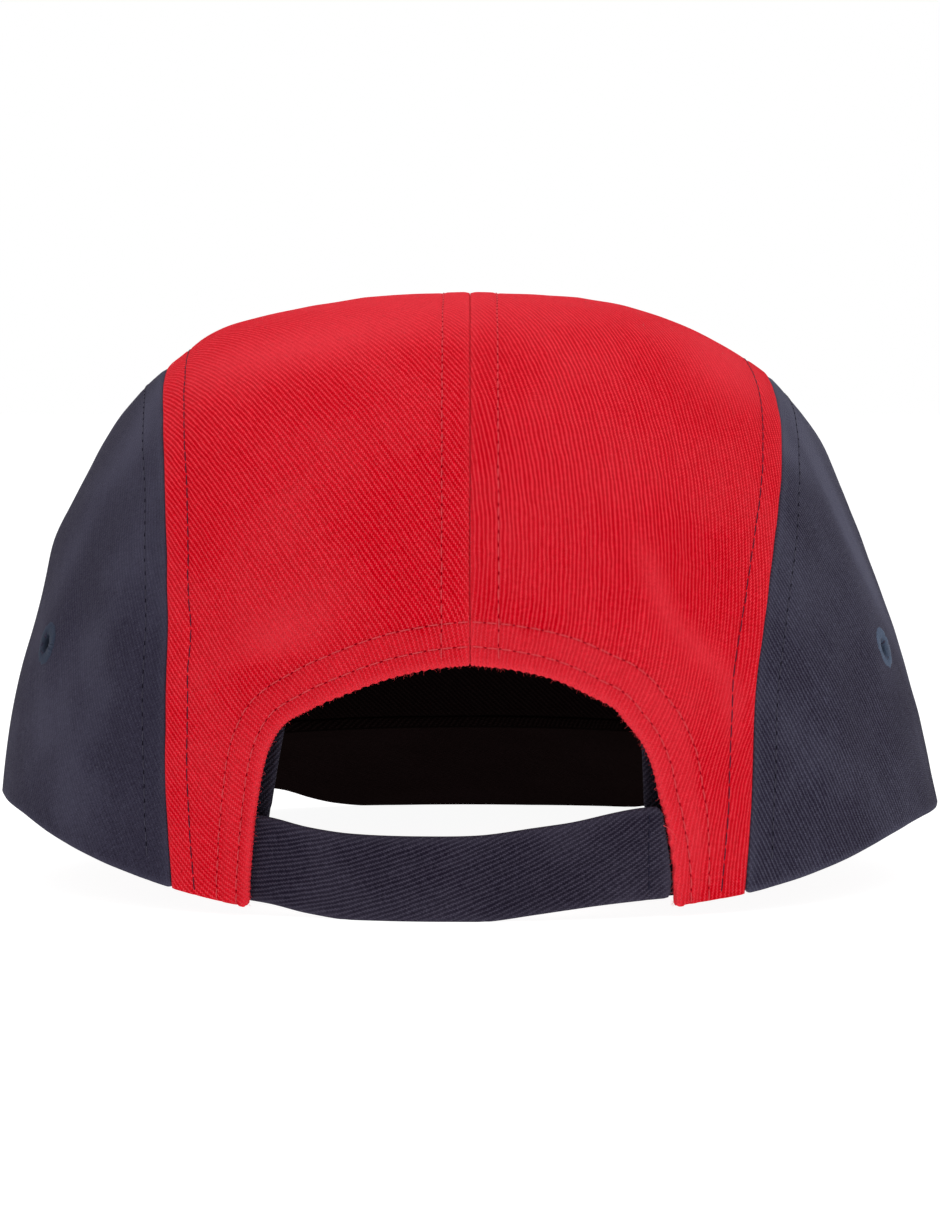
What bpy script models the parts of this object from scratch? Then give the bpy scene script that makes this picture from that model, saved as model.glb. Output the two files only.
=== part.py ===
"""A soft five-panel cap with a flat brim, as it rests on a table by its back strap and its brim's edge.

Metres, +Z up. +Y points forward, from the back strap to the brim, and +X to the wearer's right.
The table is z = 0. Angles around the crown are counted from the middle of its back, so that
90 degrees is the wearer's right side and 180 degrees the middle of the front.
"""

import math
from collections import namedtuple

import bmesh
import bpy
from mathutils import Matrix, Vector

# Crown
CROWN_HALF_WIDTH = 0.098
CROWN_BACK_REACH = 0.092
CROWN_FRONT_REACH = 0.092
CROWN_TOP = 0.1218
FRONT_RIM_RISE = 0.027
PANEL_WALL = 0.0016
SEAM_GAP = 0.0005
DENT_DEPTH = 0.0016

# Red band over the crown, and where the front panel meets it
BAND_HALF_WIDTH = 0.064
FRONT_SEAM_FORWARD = 0.040
FRONT_SEAM_BOW = 0.006

# Arched opening at the back
ARCH_HALF_WIDTH = 0.043
ARCH_HEIGHT = 0.0496

# Strap and its hidden tab
STRAP_HEIGHT = 0.0170
STRAP_THICKNESS = 0.0018
STRAP_SAG = 0.0041
STRAP_TUCK = 0.010
STRAP_LEAVES_START = 0.004
STRAP_LEAVES_END = 0.035
TAB_HEIGHT = 0.0135
TAB_THICKNESS = 0.0012
TAB_TUCK = 0.012
TAB_UNDERLAP = 0.016

# Sweatband
SWEATBAND_HEIGHT = 0.036
SWEATBAND_THICKNESS = 0.0014
SWEATBAND_LEFT_END = 0.0418
SWEATBAND_LEFT_SLANT = 0.0066
SWEATBAND_RIGHT_END = 0.0380
SWEATBAND_RIGHT_SLANT = 0.0016
SWEATBAND_CLEAR_START = 4.0
SWEATBAND_CLEAR_END = 18.0

# Brim
BRIM_LENGTH = 0.0735
BRIM_HALF_WIDTH = 0.091
BRIM_THICKNESS = 0.0026
BRIM_HALF_SPREAD = 64.0
BRIM_END_WIDTH = 0.0030
BRIM_ROUNDNESS = 2.6

# Embroidered eyelets
EYELET_DIAMETER = 0.0090
EYELET_HOLE = 0.0030
EYELET_THICKNESS = 0.0022
EYELET_ANGLE = 70.0
EYELET_RISE = 0.325

# Clearance between pieces that lie on each other, and what the table presses flat
PIECE_GAP = 0.0003
LAYER_GAP = 0.0004
PRESSED_FLAT = 0.0004

# How finely the cloth is divided
CROWN_COLUMNS = 72
CROWN_RISES = (0.0, 0.08, 0.16, 0.24, 0.32, 0.40, 0.48, 0.56, 0.64, 0.71, 0.775,
               0.83, 0.88, 0.92, 0.95, 0.975, 0.991, 0.9993)
SWEATBAND_COLUMNS = 66
SWEATBAND_ROWS = 3
STRAP_COLUMNS = 26
STRAP_ROWS = 2
SEAM_STEPS = 24
FRONT_SEAM_STEPS = 11
ARCH_STEPS = 4
BRIM_COLUMNS = 36
BRIM_ROWS = 7
EYELET_COLUMNS = 24
EYELET_ROWS = 8
WELD_DISTANCE = 0.00005

# How far the cutters reach past the cap
PRISM_REACH = 3.0 * CROWN_HALF_WIDTH

# The steps in degrees and in rise over which the crown's slope is measured
SLOPE_TURN = 1.0
SLOPE_RISE = 0.01

# Horizontal sections of the crown, from the rim to the top. Rise is a share of the height from
# the rim to CROWN_TOP, left and right are shares of CROWN_HALF_WIDTH, back and front of the two
# reaches, and roundness is the exponent of the section's curve: 2 is an ellipse, more is squarer.
CrownSection = namedtuple("CrownSection", "rise left right back front roundness")
CROWN_SECTIONS = (
    CrownSection(0.00, 1.000, 1.000, 0.985, 1.000, 2.00),
    CrownSection(0.20, 0.967, 0.948, 1.000, 0.980, 2.05),
    CrownSection(0.38, 0.914, 0.889, 0.990, 0.950, 2.10),
    CrownSection(0.55, 0.857, 0.819, 0.945, 0.910, 2.15),
    CrownSection(0.70, 0.776, 0.752, 0.855, 0.850, 2.20),
    CrownSection(0.80, 0.700, 0.674, 0.755, 0.785, 2.25),
    CrownSection(0.87, 0.616, 0.584, 0.650, 0.700, 2.30),
    CrownSection(0.93, 0.520, 0.465, 0.525, 0.585, 2.30),
    CrownSection(0.97, 0.355, 0.337, 0.380, 0.440, 2.20),
    CrownSection(0.99, 0.228, 0.234, 0.240, 0.290, 2.05),
)

# Height of the rim on its left and right, from the back (-1) to the front (1) of the crown, as
# shares of FRONT_RIM_RISE.
RimPoint = namedtuple("RimPoint", "along left right")
RIM_POINTS = (
    RimPoint(-1.00, 0.02, 0.02),
    RimPoint(-0.90, 0.06, 0.08),
    RimPoint(-0.80, 0.16, 0.16),
    RimPoint(-0.65, 0.32, 0.31),
    RimPoint(-0.50, 0.46, 0.45),
    RimPoint(-0.35, 0.58, 0.53),
    RimPoint(-0.15, 0.65, 0.56),
    RimPoint(0.10, 0.68, 0.64),
    RimPoint(0.40, 0.78, 0.77),
    RimPoint(0.70, 0.92, 0.92),
    RimPoint(1.00, 1.00, 1.00),
)

# The seams between the band and the side panels, seen from behind. Height is a share of
# CROWN_TOP, left and right are shares of BAND_HALF_WIDTH.
SeamPoint = namedtuple("SeamPoint", "height left right")
SEAM_POINTS = (
    SeamPoint(-0.10, 0.905, 0.820),
    SeamPoint(0.04, 0.918, 0.845),
    SeamPoint(0.20, 0.935, 0.866),
    SeamPoint(0.37, 0.936, 0.882),
    SeamPoint(0.54, 0.935, 0.930),
    SeamPoint(0.66, 0.948, 0.966),
    SeamPoint(0.78, 0.968, 0.984),
    SeamPoint(0.88, 0.985, 0.968),
    SeamPoint(1.20, 0.985, 0.968),
)

# The arch's edge, seen from behind. Height is a share of ARCH_HEIGHT, left and right are shares
# of ARCH_HALF_WIDTH.
ArchPoint = namedtuple("ArchPoint", "height left right")
ARCH_POINTS = (
    ArchPoint(-0.30, 1.000, 0.905),
    ArchPoint(0.15, 1.000, 0.905),
    ArchPoint(0.37, 0.975, 0.886),
    ArchPoint(0.48, 0.957, 0.860),
    ArchPoint(0.59, 0.934, 0.825),
    ArchPoint(0.69, 0.895, 0.776),
    ArchPoint(0.77, 0.828, 0.705),
    ArchPoint(0.83, 0.702, 0.645),
    ArchPoint(0.87, 0.600, 0.560),
    ArchPoint(0.945, 0.370, 0.370),
    ArchPoint(0.985, 0.170, 0.170),
    ArchPoint(1.00, 0.000, 0.000),
)

# How far the strap's lower edge hangs over its lowest point. Across is a share of
# ARCH_HALF_WIDTH, negative to the left, and rise a share of STRAP_SAG.
StrapPoint = namedtuple("StrapPoint", "across rise")
STRAP_POINTS = (
    StrapPoint(-1.30, 1.05),
    StrapPoint(-0.95, 0.72),
    StrapPoint(-0.75, 0.30),
    StrapPoint(-0.55, 0.06),
    StrapPoint(-0.25, 0.00),
    StrapPoint(0.05, 0.06),
    StrapPoint(0.30, 0.40),
    StrapPoint(0.60, 0.78),
    StrapPoint(0.90, 1.00),
    StrapPoint(1.30, 1.10),
)

# Height of the brim's outer edge over the table, from its middle (0) to its ends (1), as a share
# of FRONT_RIM_RISE.
BrimPoint = namedtuple("BrimPoint", "across rise")
BRIM_POINTS = (
    BrimPoint(0.00, 0.00),
    BrimPoint(0.27, 0.00),
    BrimPoint(0.42, 0.04),
    BrimPoint(0.54, 0.13),
    BrimPoint(0.66, 0.20),
    BrimPoint(0.80, 0.31),
    BrimPoint(0.92, 0.43),
    BrimPoint(1.00, 0.58),
)

# Soft dents and folds of the cloth. Angle and turn are degrees around the crown, rise and climb
# are shares of its height, and depth is a share of DENT_DEPTH, negative where the cloth stands out.
Dent = namedtuple("Dent", "angle rise turn climb depth")
DENTS = (
    Dent(-34.0, 0.44, 7.0, 0.05, 0.80),
    Dent(-22.0, 0.56, 9.0, 0.06, -0.40),
    Dent(24.0, 0.52, 6.0, 0.14, -0.60),
    Dent(33.0, 0.34, 5.0, 0.12, 0.60),
    Dent(-62.0, 0.45, 7.0, 0.22, 0.70),
    Dent(-98.0, 0.50, 10.0, 0.16, -0.60),
    Dent(60.0, 0.25, 6.0, 0.18, 0.60),
    Dent(100.0, 0.40, 12.0, 0.20, 0.50),
    Dent(140.0, 0.62, 14.0, 0.12, 0.70),
    Dent(-145.0, 0.58, 16.0, 0.12, 0.60),
)


def remove_everything():
    for existing in list(bpy.data.objects):
        bpy.data.objects.remove(existing, do_unlink=True)


def read_table(rows, value):
    """The row of a table at a value of its first column, blended smoothly between its rows."""
    last = len(rows) - 1
    index = 0
    while index < last - 1 and value > rows[index + 1][0]:
        index += 1
    start = rows[index]
    end = rows[index + 1]
    before = rows[max(index - 1, 0)]
    after = rows[min(index + 2, last)]
    span = end[0] - start[0]
    share = min(max((value - start[0]) / span, 0.0), 1.0)
    values = []
    for column, (low, high) in enumerate(zip(start, end)):
        slope_in = (high - before[column]) * span / (end[0] - before[0])
        slope_out = (after[column] - low) * span / (after[0] - start[0])
        values.append(
            low * (1.0 + 2.0 * share) * (1.0 - share) ** 2
            + slope_in * share * (1.0 - share) ** 2
            + high * share ** 2 * (3.0 - 2.0 * share)
            + slope_out * share ** 2 * (share - 1.0)
        )
    return type(start)(*values)


def ease(low, high, value):
    """Zero below low, one above high, and a smooth step between."""
    share = min(max((value - low) / (high - low), 0.0), 1.0)
    return share * share * (3.0 - 2.0 * share)


def signed_power(value, exponent):
    return math.copysign(abs(value) ** exponent, value)


def crown_section(rise):
    """The crown's section at a rise. Near the top the reaches close like a dome."""
    dome = CROWN_SECTIONS[-1]
    if rise <= dome.rise:
        return read_table(CROWN_SECTIONS, rise)
    shrink = math.sqrt(max(1.0 - rise, 0.0) / (1.0 - dome.rise))
    return CrownSection(
        rise, dome.left * shrink, dome.right * shrink, dome.back * shrink,
        dome.front * shrink, dome.roundness,
    )


def rim_height(angle):
    """Height of the rim over the table at an angle around the crown."""
    turn = math.radians(angle)
    point = read_table(RIM_POINTS, -math.cos(turn))
    share = point.right if math.sin(turn) >= 0.0 else point.left
    return share * FRONT_RIM_RISE


def crown_reach(section, angle):
    """The two half-lengths of the section in the quarter that an angle lies in."""
    across = section.right if math.sin(math.radians(angle)) >= 0.0 else section.left
    if math.cos(math.radians(angle)) >= 0.0:
        return across * CROWN_HALF_WIDTH, section.back * CROWN_BACK_REACH
    return across * CROWN_HALF_WIDTH, section.front * CROWN_FRONT_REACH


def smooth_crown_point(angle, rise):
    """A point of the crown's outer face without its dents."""
    section = crown_section(rise)
    across, along = crown_reach(section, angle)
    turn = math.radians(angle)
    exponent = 2.0 / section.roundness
    x = across * signed_power(math.sin(turn), exponent)
    y = -along * signed_power(math.cos(turn), exponent)
    base = rim_height(angle)
    return Vector((x, y, base + (CROWN_TOP - base) * rise))


def crown_normal(angle, rise):
    """The outward direction of the crown's face."""
    low = min(max(rise, SLOPE_RISE), 1.0 - 2.0 * SLOPE_RISE)
    before = smooth_crown_point(angle - SLOPE_TURN, low)
    after = smooth_crown_point(angle + SLOPE_TURN, low)
    below = smooth_crown_point(angle, low - SLOPE_RISE)
    over = smooth_crown_point(angle, low + SLOPE_RISE)
    return (after - before).cross(over - below).normalized()


def dent_depth(angle, rise):
    """How far the cloth lies inside its smooth shape."""
    depth = 0.0
    for dent in DENTS:
        turn = (angle - dent.angle + 180.0) % 360.0 - 180.0
        away = (turn / dent.turn) ** 2 + ((rise - dent.rise) / dent.climb) ** 2
        depth += dent.depth * DENT_DEPTH * math.exp(-away)
    return depth


def crown_point(angle, rise, inset=0.0):
    """A point of the crown's face, or of a layer that lies the inset inside it."""
    depth = inset + dent_depth(angle, rise)
    return smooth_crown_point(angle, rise) - crown_normal(angle, rise) * depth


def wall_point(across, height, inset=0.0):
    """A point of the smooth back wall by its place across and its height over the table."""
    section = crown_section(max(height, 0.0) / CROWN_TOP)
    side = (section.right if across >= 0.0 else section.left) * CROWN_HALF_WIDTH
    share = min(abs(across) / side, 1.0)
    back = section.back * CROWN_BACK_REACH
    y = -back * (1.0 - share ** section.roundness) ** (1.0 / section.roundness)
    outward = Vector((across / side ** 2, y / back ** 2, 0.0)).normalized()
    return Vector((across, y, height)) - outward * inset


def back_angle(across):
    """The angle around the crown at which its rim reaches a place across."""
    return math.degrees(math.asin(across / CROWN_HALF_WIDTH))


def new_material(name, colour, roughness):
    material = bpy.data.materials.new(name)
    material.use_nodes = True
    shader = material.node_tree.nodes["Principled BSDF"]
    shader.inputs["Base Color"].default_value = (*colour, 1.0)
    shader.inputs["Roughness"].default_value = roughness
    return material


def add_object(name, mesh, collection, parent, material=None):
    for polygon in mesh.polygons:
        polygon.use_smooth = True
    made = bpy.data.objects.new(name, mesh)
    collection.objects.link(made)
    made.parent = parent
    if material is not None:
        made.data.materials.append(material)
    return made


def grid_mesh(name, rows, closed_around=False):
    """A sheet through rows of points. One that closes around is capped by its last row."""
    sheet = bmesh.new()
    lines = []
    for row in rows:
        lines.append([sheet.verts.new(point) for point in row])
    count = len(rows[0])
    steps = count if closed_around else count - 1
    for low, high in zip(lines[:-1], lines[1:]):
        for column in range(steps):
            following = (column + 1) % count
            sheet.faces.new((low[column], low[following], high[following], high[column]))
    if closed_around:
        sheet.faces.new(lines[-1])
    mesh = bpy.data.meshes.new(name)
    sheet.to_mesh(mesh)
    sheet.free()
    return mesh


def add_wall(made, thickness, offset=-1.0):
    """Gives a sheet its thickness, inward from its face when the offset is -1."""
    wall = made.modifiers.new("wall", "SOLIDIFY")
    wall.thickness = thickness
    wall.offset = offset
    wall.use_even_offset = True
    return wall


def add_cut(made, cutter, operation):
    cut = made.modifiers.new(cutter.name, "BOOLEAN")
    cut.operation = operation
    cut.object = cutter


def add_weld(made):
    """Closes the hair-thin faces that a cut leaves."""
    weld = made.modifiers.new("weld", "WELD")
    weld.merge_threshold = WELD_DISTANCE


def mark_cutter(made):
    made.hide_render = True
    made.display_type = "WIRE"
    return made


def prism_mesh(name, outline, to_point, start, end):
    """A closed solid: a flat outline swept from start to end. to_point places its corners."""
    solid = bmesh.new()
    low = [solid.verts.new(to_point(first, second, start)) for first, second in outline]
    high = [solid.verts.new(to_point(first, second, end)) for first, second in outline]
    solid.faces.new(low)
    solid.faces.new(high[::-1])
    for index in range(len(outline)):
        following = (index + 1) % len(outline)
        solid.faces.new((low[following], low[index], high[index], high[following]))
    bmesh.ops.recalc_face_normals(solid, faces=solid.faces)
    mesh = bpy.data.meshes.new(name)
    solid.to_mesh(mesh)
    solid.free()
    return mesh


def seen_from_behind(across, height, depth):
    return (across, depth, height)


def seen_from_above(across, along, height):
    return (across, along, height)


def seam_line(side, shift):
    """One seam's line seen from behind, from below the rim to above the top."""
    rows = []
    low = SEAM_POINTS[0].height
    high = SEAM_POINTS[-1].height
    for index in range(SEAM_STEPS + 1):
        point = read_table(SEAM_POINTS, low + (high - low) * index / SEAM_STEPS)
        reach = (point.right if side > 0 else point.left) * BAND_HALF_WIDTH + shift
        rows.append((side * reach, point.height * CROWN_TOP))
    return rows


def band_outline(left_shift, right_shift):
    """The outline, seen from behind, between the seams. A shift of None stands for the middle."""
    left = seam_line(-1, left_shift or 0.0)
    right = seam_line(1, right_shift or 0.0)
    if left_shift is None:
        left = [(SEAM_GAP / 2.0, height) for _, height in left]
    if right_shift is None:
        right = [(-SEAM_GAP / 2.0, height) for _, height in right]
    return left + right[::-1]


def side_outline(side):
    """The outline, seen from behind, of everything outside one seam."""
    line = seam_line(side, SEAM_GAP / 2.0)
    low = line[0][1]
    high = line[-1][1]
    return line + [(side * PRISM_REACH, high), (side * PRISM_REACH, low)]


def front_outline(shift):
    """The outline, seen from above, of everything ahead of the front panel's top seam."""
    points = []
    for index in range(FRONT_SEAM_STEPS + 1):
        share = 2.0 * index / FRONT_SEAM_STEPS - 1.0
        along = FRONT_SEAM_FORWARD - FRONT_SEAM_BOW * (1.0 - share ** 2) + shift
        points.append((share * CROWN_HALF_WIDTH, along))
    return [(-CROWN_HALF_WIDTH, PRISM_REACH)] + points + [(CROWN_HALF_WIDTH, PRISM_REACH)]


def arch_outline():
    """The arch seen from behind, from its left foot over its top to its right foot."""
    left = []
    right = []
    for start, end in zip(ARCH_POINTS[:-1], ARCH_POINTS[1:]):
        for index in range(ARCH_STEPS):
            height = start.height + (end.height - start.height) * index / ARCH_STEPS
            point = read_table(ARCH_POINTS, height)
            left.append((-point.left * ARCH_HALF_WIDTH, height * ARCH_HEIGHT))
            right.append((point.right * ARCH_HALF_WIDTH, height * ARCH_HEIGHT))
    return left + [(0.0, ARCH_HEIGHT)] + right[::-1]


def crown_mesh(name):
    """The whole crown's outer face as one sheet."""
    step = 360.0 / CROWN_COLUMNS
    rows = []
    for rise in CROWN_RISES:
        rows.append([crown_point((column + 0.5) * step, rise) for column in range(CROWN_COLUMNS)])
    return grid_mesh(name, rows, closed_around=True)


def add_panel(name, cutters, collection, parent, material):
    """A panel: the part of the crown's wall that its cutters leave."""
    panel = add_object(name, crown_mesh(name), collection, parent, material)
    add_wall(panel, PANEL_WALL)
    for cutter, operation in cutters:
        add_cut(panel, cutter, operation)
    add_weld(panel)
    return panel


def sweatband_inset(angle):
    """How far inside the crown's face the sweatband lies: deeper where the strap's ends pass.

    From CLEAR_START to CLEAR_END degrees beyond those ends it comes back to the wall.
    """
    beside = PANEL_WALL + LAYER_GAP
    passing = beside + STRAP_THICKNESS + LAYER_GAP + TAB_THICKNESS
    reach = back_angle(ARCH_HALF_WIDTH + max(STRAP_TUCK, TAB_TUCK))
    away = abs((angle + 180.0) % 360.0 - 180.0)
    near = 1.0 - ease(reach + SWEATBAND_CLEAR_START, reach + SWEATBAND_CLEAR_END, away)
    return beside + (passing - beside) * near


def sweatband_mesh(name):
    """The sweatband as a sheet from its right end, around the front, to its left end."""
    rows = []
    for row_index in range(SWEATBAND_ROWS + 1):
        share = row_index / SWEATBAND_ROWS
        lean = 0.5 - share
        start = back_angle(SWEATBAND_RIGHT_END + SWEATBAND_RIGHT_SLANT * lean)
        end = 360.0 - back_angle(SWEATBAND_LEFT_END + SWEATBAND_LEFT_SLANT * lean)
        row = []
        for column in range(SWEATBAND_COLUMNS + 1):
            angle = start + (end - start) * column / SWEATBAND_COLUMNS
            rise = share * SWEATBAND_HEIGHT / (CROWN_TOP - rim_height(angle))
            row.append(crown_point(angle, rise, sweatband_inset(angle)))
        rows.append(row)
    return grid_mesh(name, rows)


def strap_base(across):
    """Height of the strap's lower edge before the table presses it flat."""
    rise = read_table(STRAP_POINTS, across / ARCH_HALF_WIDTH).rise
    return rise * STRAP_SAG - PRESSED_FLAT


def strap_inset(across):
    """The strap comes out from behind the left back panel and ends level with the right one.

    It comes level from LEAVES_START to LEAVES_END inside the arch's left edge.
    """
    from_edge = across + ARCH_HALF_WIDTH
    hidden = PANEL_WALL + LAYER_GAP
    return hidden * (1.0 - ease(STRAP_LEAVES_START, STRAP_LEAVES_END, from_edge))


def band_mesh(name, left, right_at, columns, height, base, inset):
    """A strip of cloth along the back wall, as a sheet that stands on its lower edge.

    right_at gives its right end by the share of its height.
    """
    rows = []
    for row_index in range(STRAP_ROWS + 1):
        share = row_index / STRAP_ROWS
        row = []
        for column in range(columns + 1):
            across = left + (right_at(share) - left) * column / columns
            foot = base(across)
            row.append(wall_point(across, foot + height * share, inset(across)))
        rows.append(row)
    return grid_mesh(name, rows)


def arch_right_edge(height):
    return read_table(ARCH_POINTS, height / ARCH_HEIGHT).right * ARCH_HALF_WIDTH


def strap_right(share):
    """The strap's right end, by the share of its height, beside the arch's edge."""
    return arch_right_edge(STRAP_SAG + STRAP_HEIGHT * share) - LAYER_GAP


def brim_inner_point(angle):
    """A point of the brim's seam, just under the crown's rim."""
    point = crown_point(angle, 0.0, PANEL_WALL)
    return point - Vector((0.0, 0.0, PIECE_GAP + BRIM_THICKNESS))


def brim_outer_point(share):
    """A point of the brim's outer edge, from -1 at its left end to 1 at its right end."""
    turn = share * math.pi / 2.0
    exponent = 2.0 / BRIM_ROUNDNESS
    end = crown_point(180.0 - BRIM_HALF_SPREAD, 0.0)
    front = crown_point(180.0, 0.0)
    reach = math.sqrt(BRIM_LENGTH ** 2 - FRONT_RIM_RISE ** 2)
    start = end.y - BRIM_END_WIDTH
    across = BRIM_HALF_WIDTH * signed_power(math.sin(turn), exponent)
    along = start + (front.y + reach - start) * signed_power(math.cos(turn), exponent)
    rise = read_table(BRIM_POINTS, abs(across) / BRIM_HALF_WIDTH).rise
    return Vector((across, along, rise * FRONT_RIM_RISE - PRESSED_FLAT))


def brim_mesh(name):
    """The brim's underside: straight lines from the rim to the outer edge."""
    rows = []
    for row_index in range(BRIM_ROWS + 1):
        share = row_index / BRIM_ROWS
        row = []
        for column in range(BRIM_COLUMNS + 1):
            side = 2.0 * column / BRIM_COLUMNS - 1.0
            inner = brim_inner_point(180.0 - side * BRIM_HALF_SPREAD)
            outer = brim_outer_point(side)
            row.append(inner.lerp(outer, share))
        rows.append(row)
    return grid_mesh(name, rows)


def eyelet_place(side):
    """Where an eyelet sits: a turn that lays Z along the outward direction, at its middle."""
    angle = side * EYELET_ANGLE
    outward = crown_normal(angle, EYELET_RISE)
    middle = crown_point(angle, EYELET_RISE, PANEL_WALL / 2.0)
    turn = Vector((0.0, 0.0, 1.0)).rotation_difference(outward)
    return Matrix.Translation(middle) @ turn.to_matrix().to_4x4()


def cylinder_mesh(name, radius, depth):
    solid = bmesh.new()
    bmesh.ops.create_cone(
        solid, cap_ends=True, segments=EYELET_COLUMNS, radius1=radius, radius2=radius, depth=depth
    )
    mesh = bpy.data.meshes.new(name)
    solid.to_mesh(mesh)
    solid.free()
    return mesh


def add_eyelet(name, side, collection, parent, material):
    """A ring of embroidery that fills its hole in the panel and leaves its own small hole."""
    outer = EYELET_DIAMETER / 2.0
    inner = EYELET_HOLE / 2.0
    thread = (outer - inner) / 2.0
    bpy.ops.mesh.primitive_torus_add(
        major_radius=inner + thread, minor_radius=thread,
        major_segments=EYELET_COLUMNS, minor_segments=EYELET_ROWS,
    )
    ring = bpy.context.object
    ring.name = name
    ring.data.name = name
    ring.data.transform(Matrix.Diagonal((1.0, 1.0, EYELET_THICKNESS / (2.0 * thread), 1.0)))
    ring.data.transform(eyelet_place(side))
    ring.data.shade_smooth()
    ring.data.materials.append(material)
    for home in list(ring.users_collection):
        home.objects.unlink(ring)
    collection.objects.link(ring)
    ring.parent = parent
    return ring


def build():
    remove_everything()
    cap = bpy.data.collections.new("flat_brim_cap")
    cutters = bpy.data.collections.new("cutters")
    bpy.context.scene.collection.children.link(cap)
    bpy.context.scene.collection.children.link(cutters)
    centre = bpy.data.objects.new("cap_centre", None)
    cap.objects.link(centre)

    red = new_material("red_twill", (0.62, 0.025, 0.035), 0.85)
    navy = new_material("navy_twill", (0.045, 0.043, 0.070), 0.88)
    thread = new_material("blue_thread", (0.065, 0.110, 0.190), 0.70)

    def cutter(name, outline, to_point, start, end):
        mesh = prism_mesh(name, outline, to_point, start, end)
        return mark_cutter(add_object(name, mesh, cutters, centre))

    far = PRISM_REACH
    half_gap = SEAM_GAP / 2.0
    behind = seen_from_behind
    above = seen_from_above
    left_side = cutter("left_side_space", side_outline(-1), behind, -far, far)
    right_side = cutter("right_side_space", side_outline(1), behind, -far, far)
    left_half = cutter("left_half_space", band_outline(-half_gap, None), behind, -far, far)
    right_half = cutter("right_half_space", band_outline(None, -half_gap), behind, -far, far)
    whole_band = cutter("band_space", band_outline(-half_gap, -half_gap), behind, -far, far)
    front_space = cutter("front_space", front_outline(half_gap), above, -far, far)
    front_limit = cutter("front_limit", front_outline(-half_gap), above, -far, far)
    mid_hollow = -CROWN_BACK_REACH / 3.0
    arch = cutter("arch_space", arch_outline(), behind, -far, mid_hollow)
    table_square = [(-far, -far), (far, -far), (far, far), (-far, far)]
    table = cutter("table_space", table_square, above, -far, 0.0)

    back_cuts = [(front_limit, "DIFFERENCE"), (arch, "DIFFERENCE")]
    add_panel("back_panel_left", [(left_half, "INTERSECT")] + back_cuts, cap, centre, red)
    add_panel("back_panel_right", [(right_half, "INTERSECT")] + back_cuts, cap, centre, red)
    front_cuts = [(whole_band, "INTERSECT"), (front_space, "INTERSECT")]
    add_panel("front_panel", front_cuts, cap, centre, red)

    hole_radius = EYELET_DIAMETER / 2.0 + PIECE_GAP
    for word, side, space in (("left", -1, left_side), ("right", 1, right_side)):
        hole_name = "eyelet_hole_" + word
        hole_mesh = cylinder_mesh(hole_name, hole_radius, EYELET_DIAMETER * 2.0)
        hole_mesh.transform(eyelet_place(side))
        hole = mark_cutter(add_object(hole_name, hole_mesh, cutters, centre))
        side_cuts = [(space, "INTERSECT"), (hole, "DIFFERENCE")]
        add_panel("side_panel_" + word, side_cuts, cap, centre, navy)
        add_eyelet("eyelet_" + word, side, cap, centre, thread)

    sweatband = add_object("sweatband", sweatband_mesh("sweatband"), cap, centre, navy)
    add_wall(sweatband, SWEATBAND_THICKNESS)

    strap_left = -(ARCH_HALF_WIDTH + STRAP_TUCK)
    strap_sheet = band_mesh(
        "strap", strap_left, strap_right, STRAP_COLUMNS, STRAP_HEIGHT, strap_base, strap_inset
    )
    strap = add_object("strap", strap_sheet, cap, centre, navy)
    add_wall(strap, STRAP_THICKNESS)
    add_cut(strap, table, "DIFFERENCE")

    tab_left = strap_right(0.0) - TAB_UNDERLAP
    tab_right = arch_right_edge(0.0) + TAB_TUCK
    tab_lift = (STRAP_HEIGHT - TAB_HEIGHT) / 2.0
    under_strap = STRAP_THICKNESS + LAYER_GAP
    tab_sheet = band_mesh(
        "strap_tab", tab_left, lambda share: tab_right, STRAP_COLUMNS // 2, TAB_HEIGHT,
        lambda across: strap_base(across) + tab_lift, lambda across: under_strap,
    )
    tab = add_object("strap_tab", tab_sheet, cap, centre, navy)
    add_wall(tab, TAB_THICKNESS)

    brim = add_object("brim", brim_mesh("brim"), cap, centre, navy)
    add_wall(brim, BRIM_THICKNESS, offset=1.0)
    add_cut(brim, table, "DIFFERENCE")

    centre_on_origin(cap, centre)


def centre_on_origin(collection, centre):
    """Moves the whole cap so that the middle of its box stands over the origin."""
    bpy.context.view_layer.update()
    graph = bpy.context.evaluated_depsgraph_get()
    lows = []
    highs = []
    for part in collection.objects:
        if part.type != "MESH":
            continue
        shape = part.evaluated_get(graph)
        corners = [shape.matrix_world @ Vector(corner) for corner in shape.bound_box]
        lows.append((min(c.x for c in corners), min(c.y for c in corners)))
        highs.append((max(c.x for c in corners), max(c.y for c in corners)))
    middle_x = (min(low[0] for low in lows) + max(high[0] for high in highs)) / 2.0
    middle_y = (min(low[1] for low in lows) + max(high[1] for high in highs)) / 2.0
    centre.location = (-middle_x, -middle_y, 0.0)
    bpy.context.view_layer.update()


build()
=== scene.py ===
"""The looks of a soft five-panel cap with a flat brim, resting on a table, seen from behind."""

import math
from collections import namedtuple

import bpy
import numpy as np
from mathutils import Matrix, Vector
from mathutils.bvhtree import BVHTree


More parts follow.
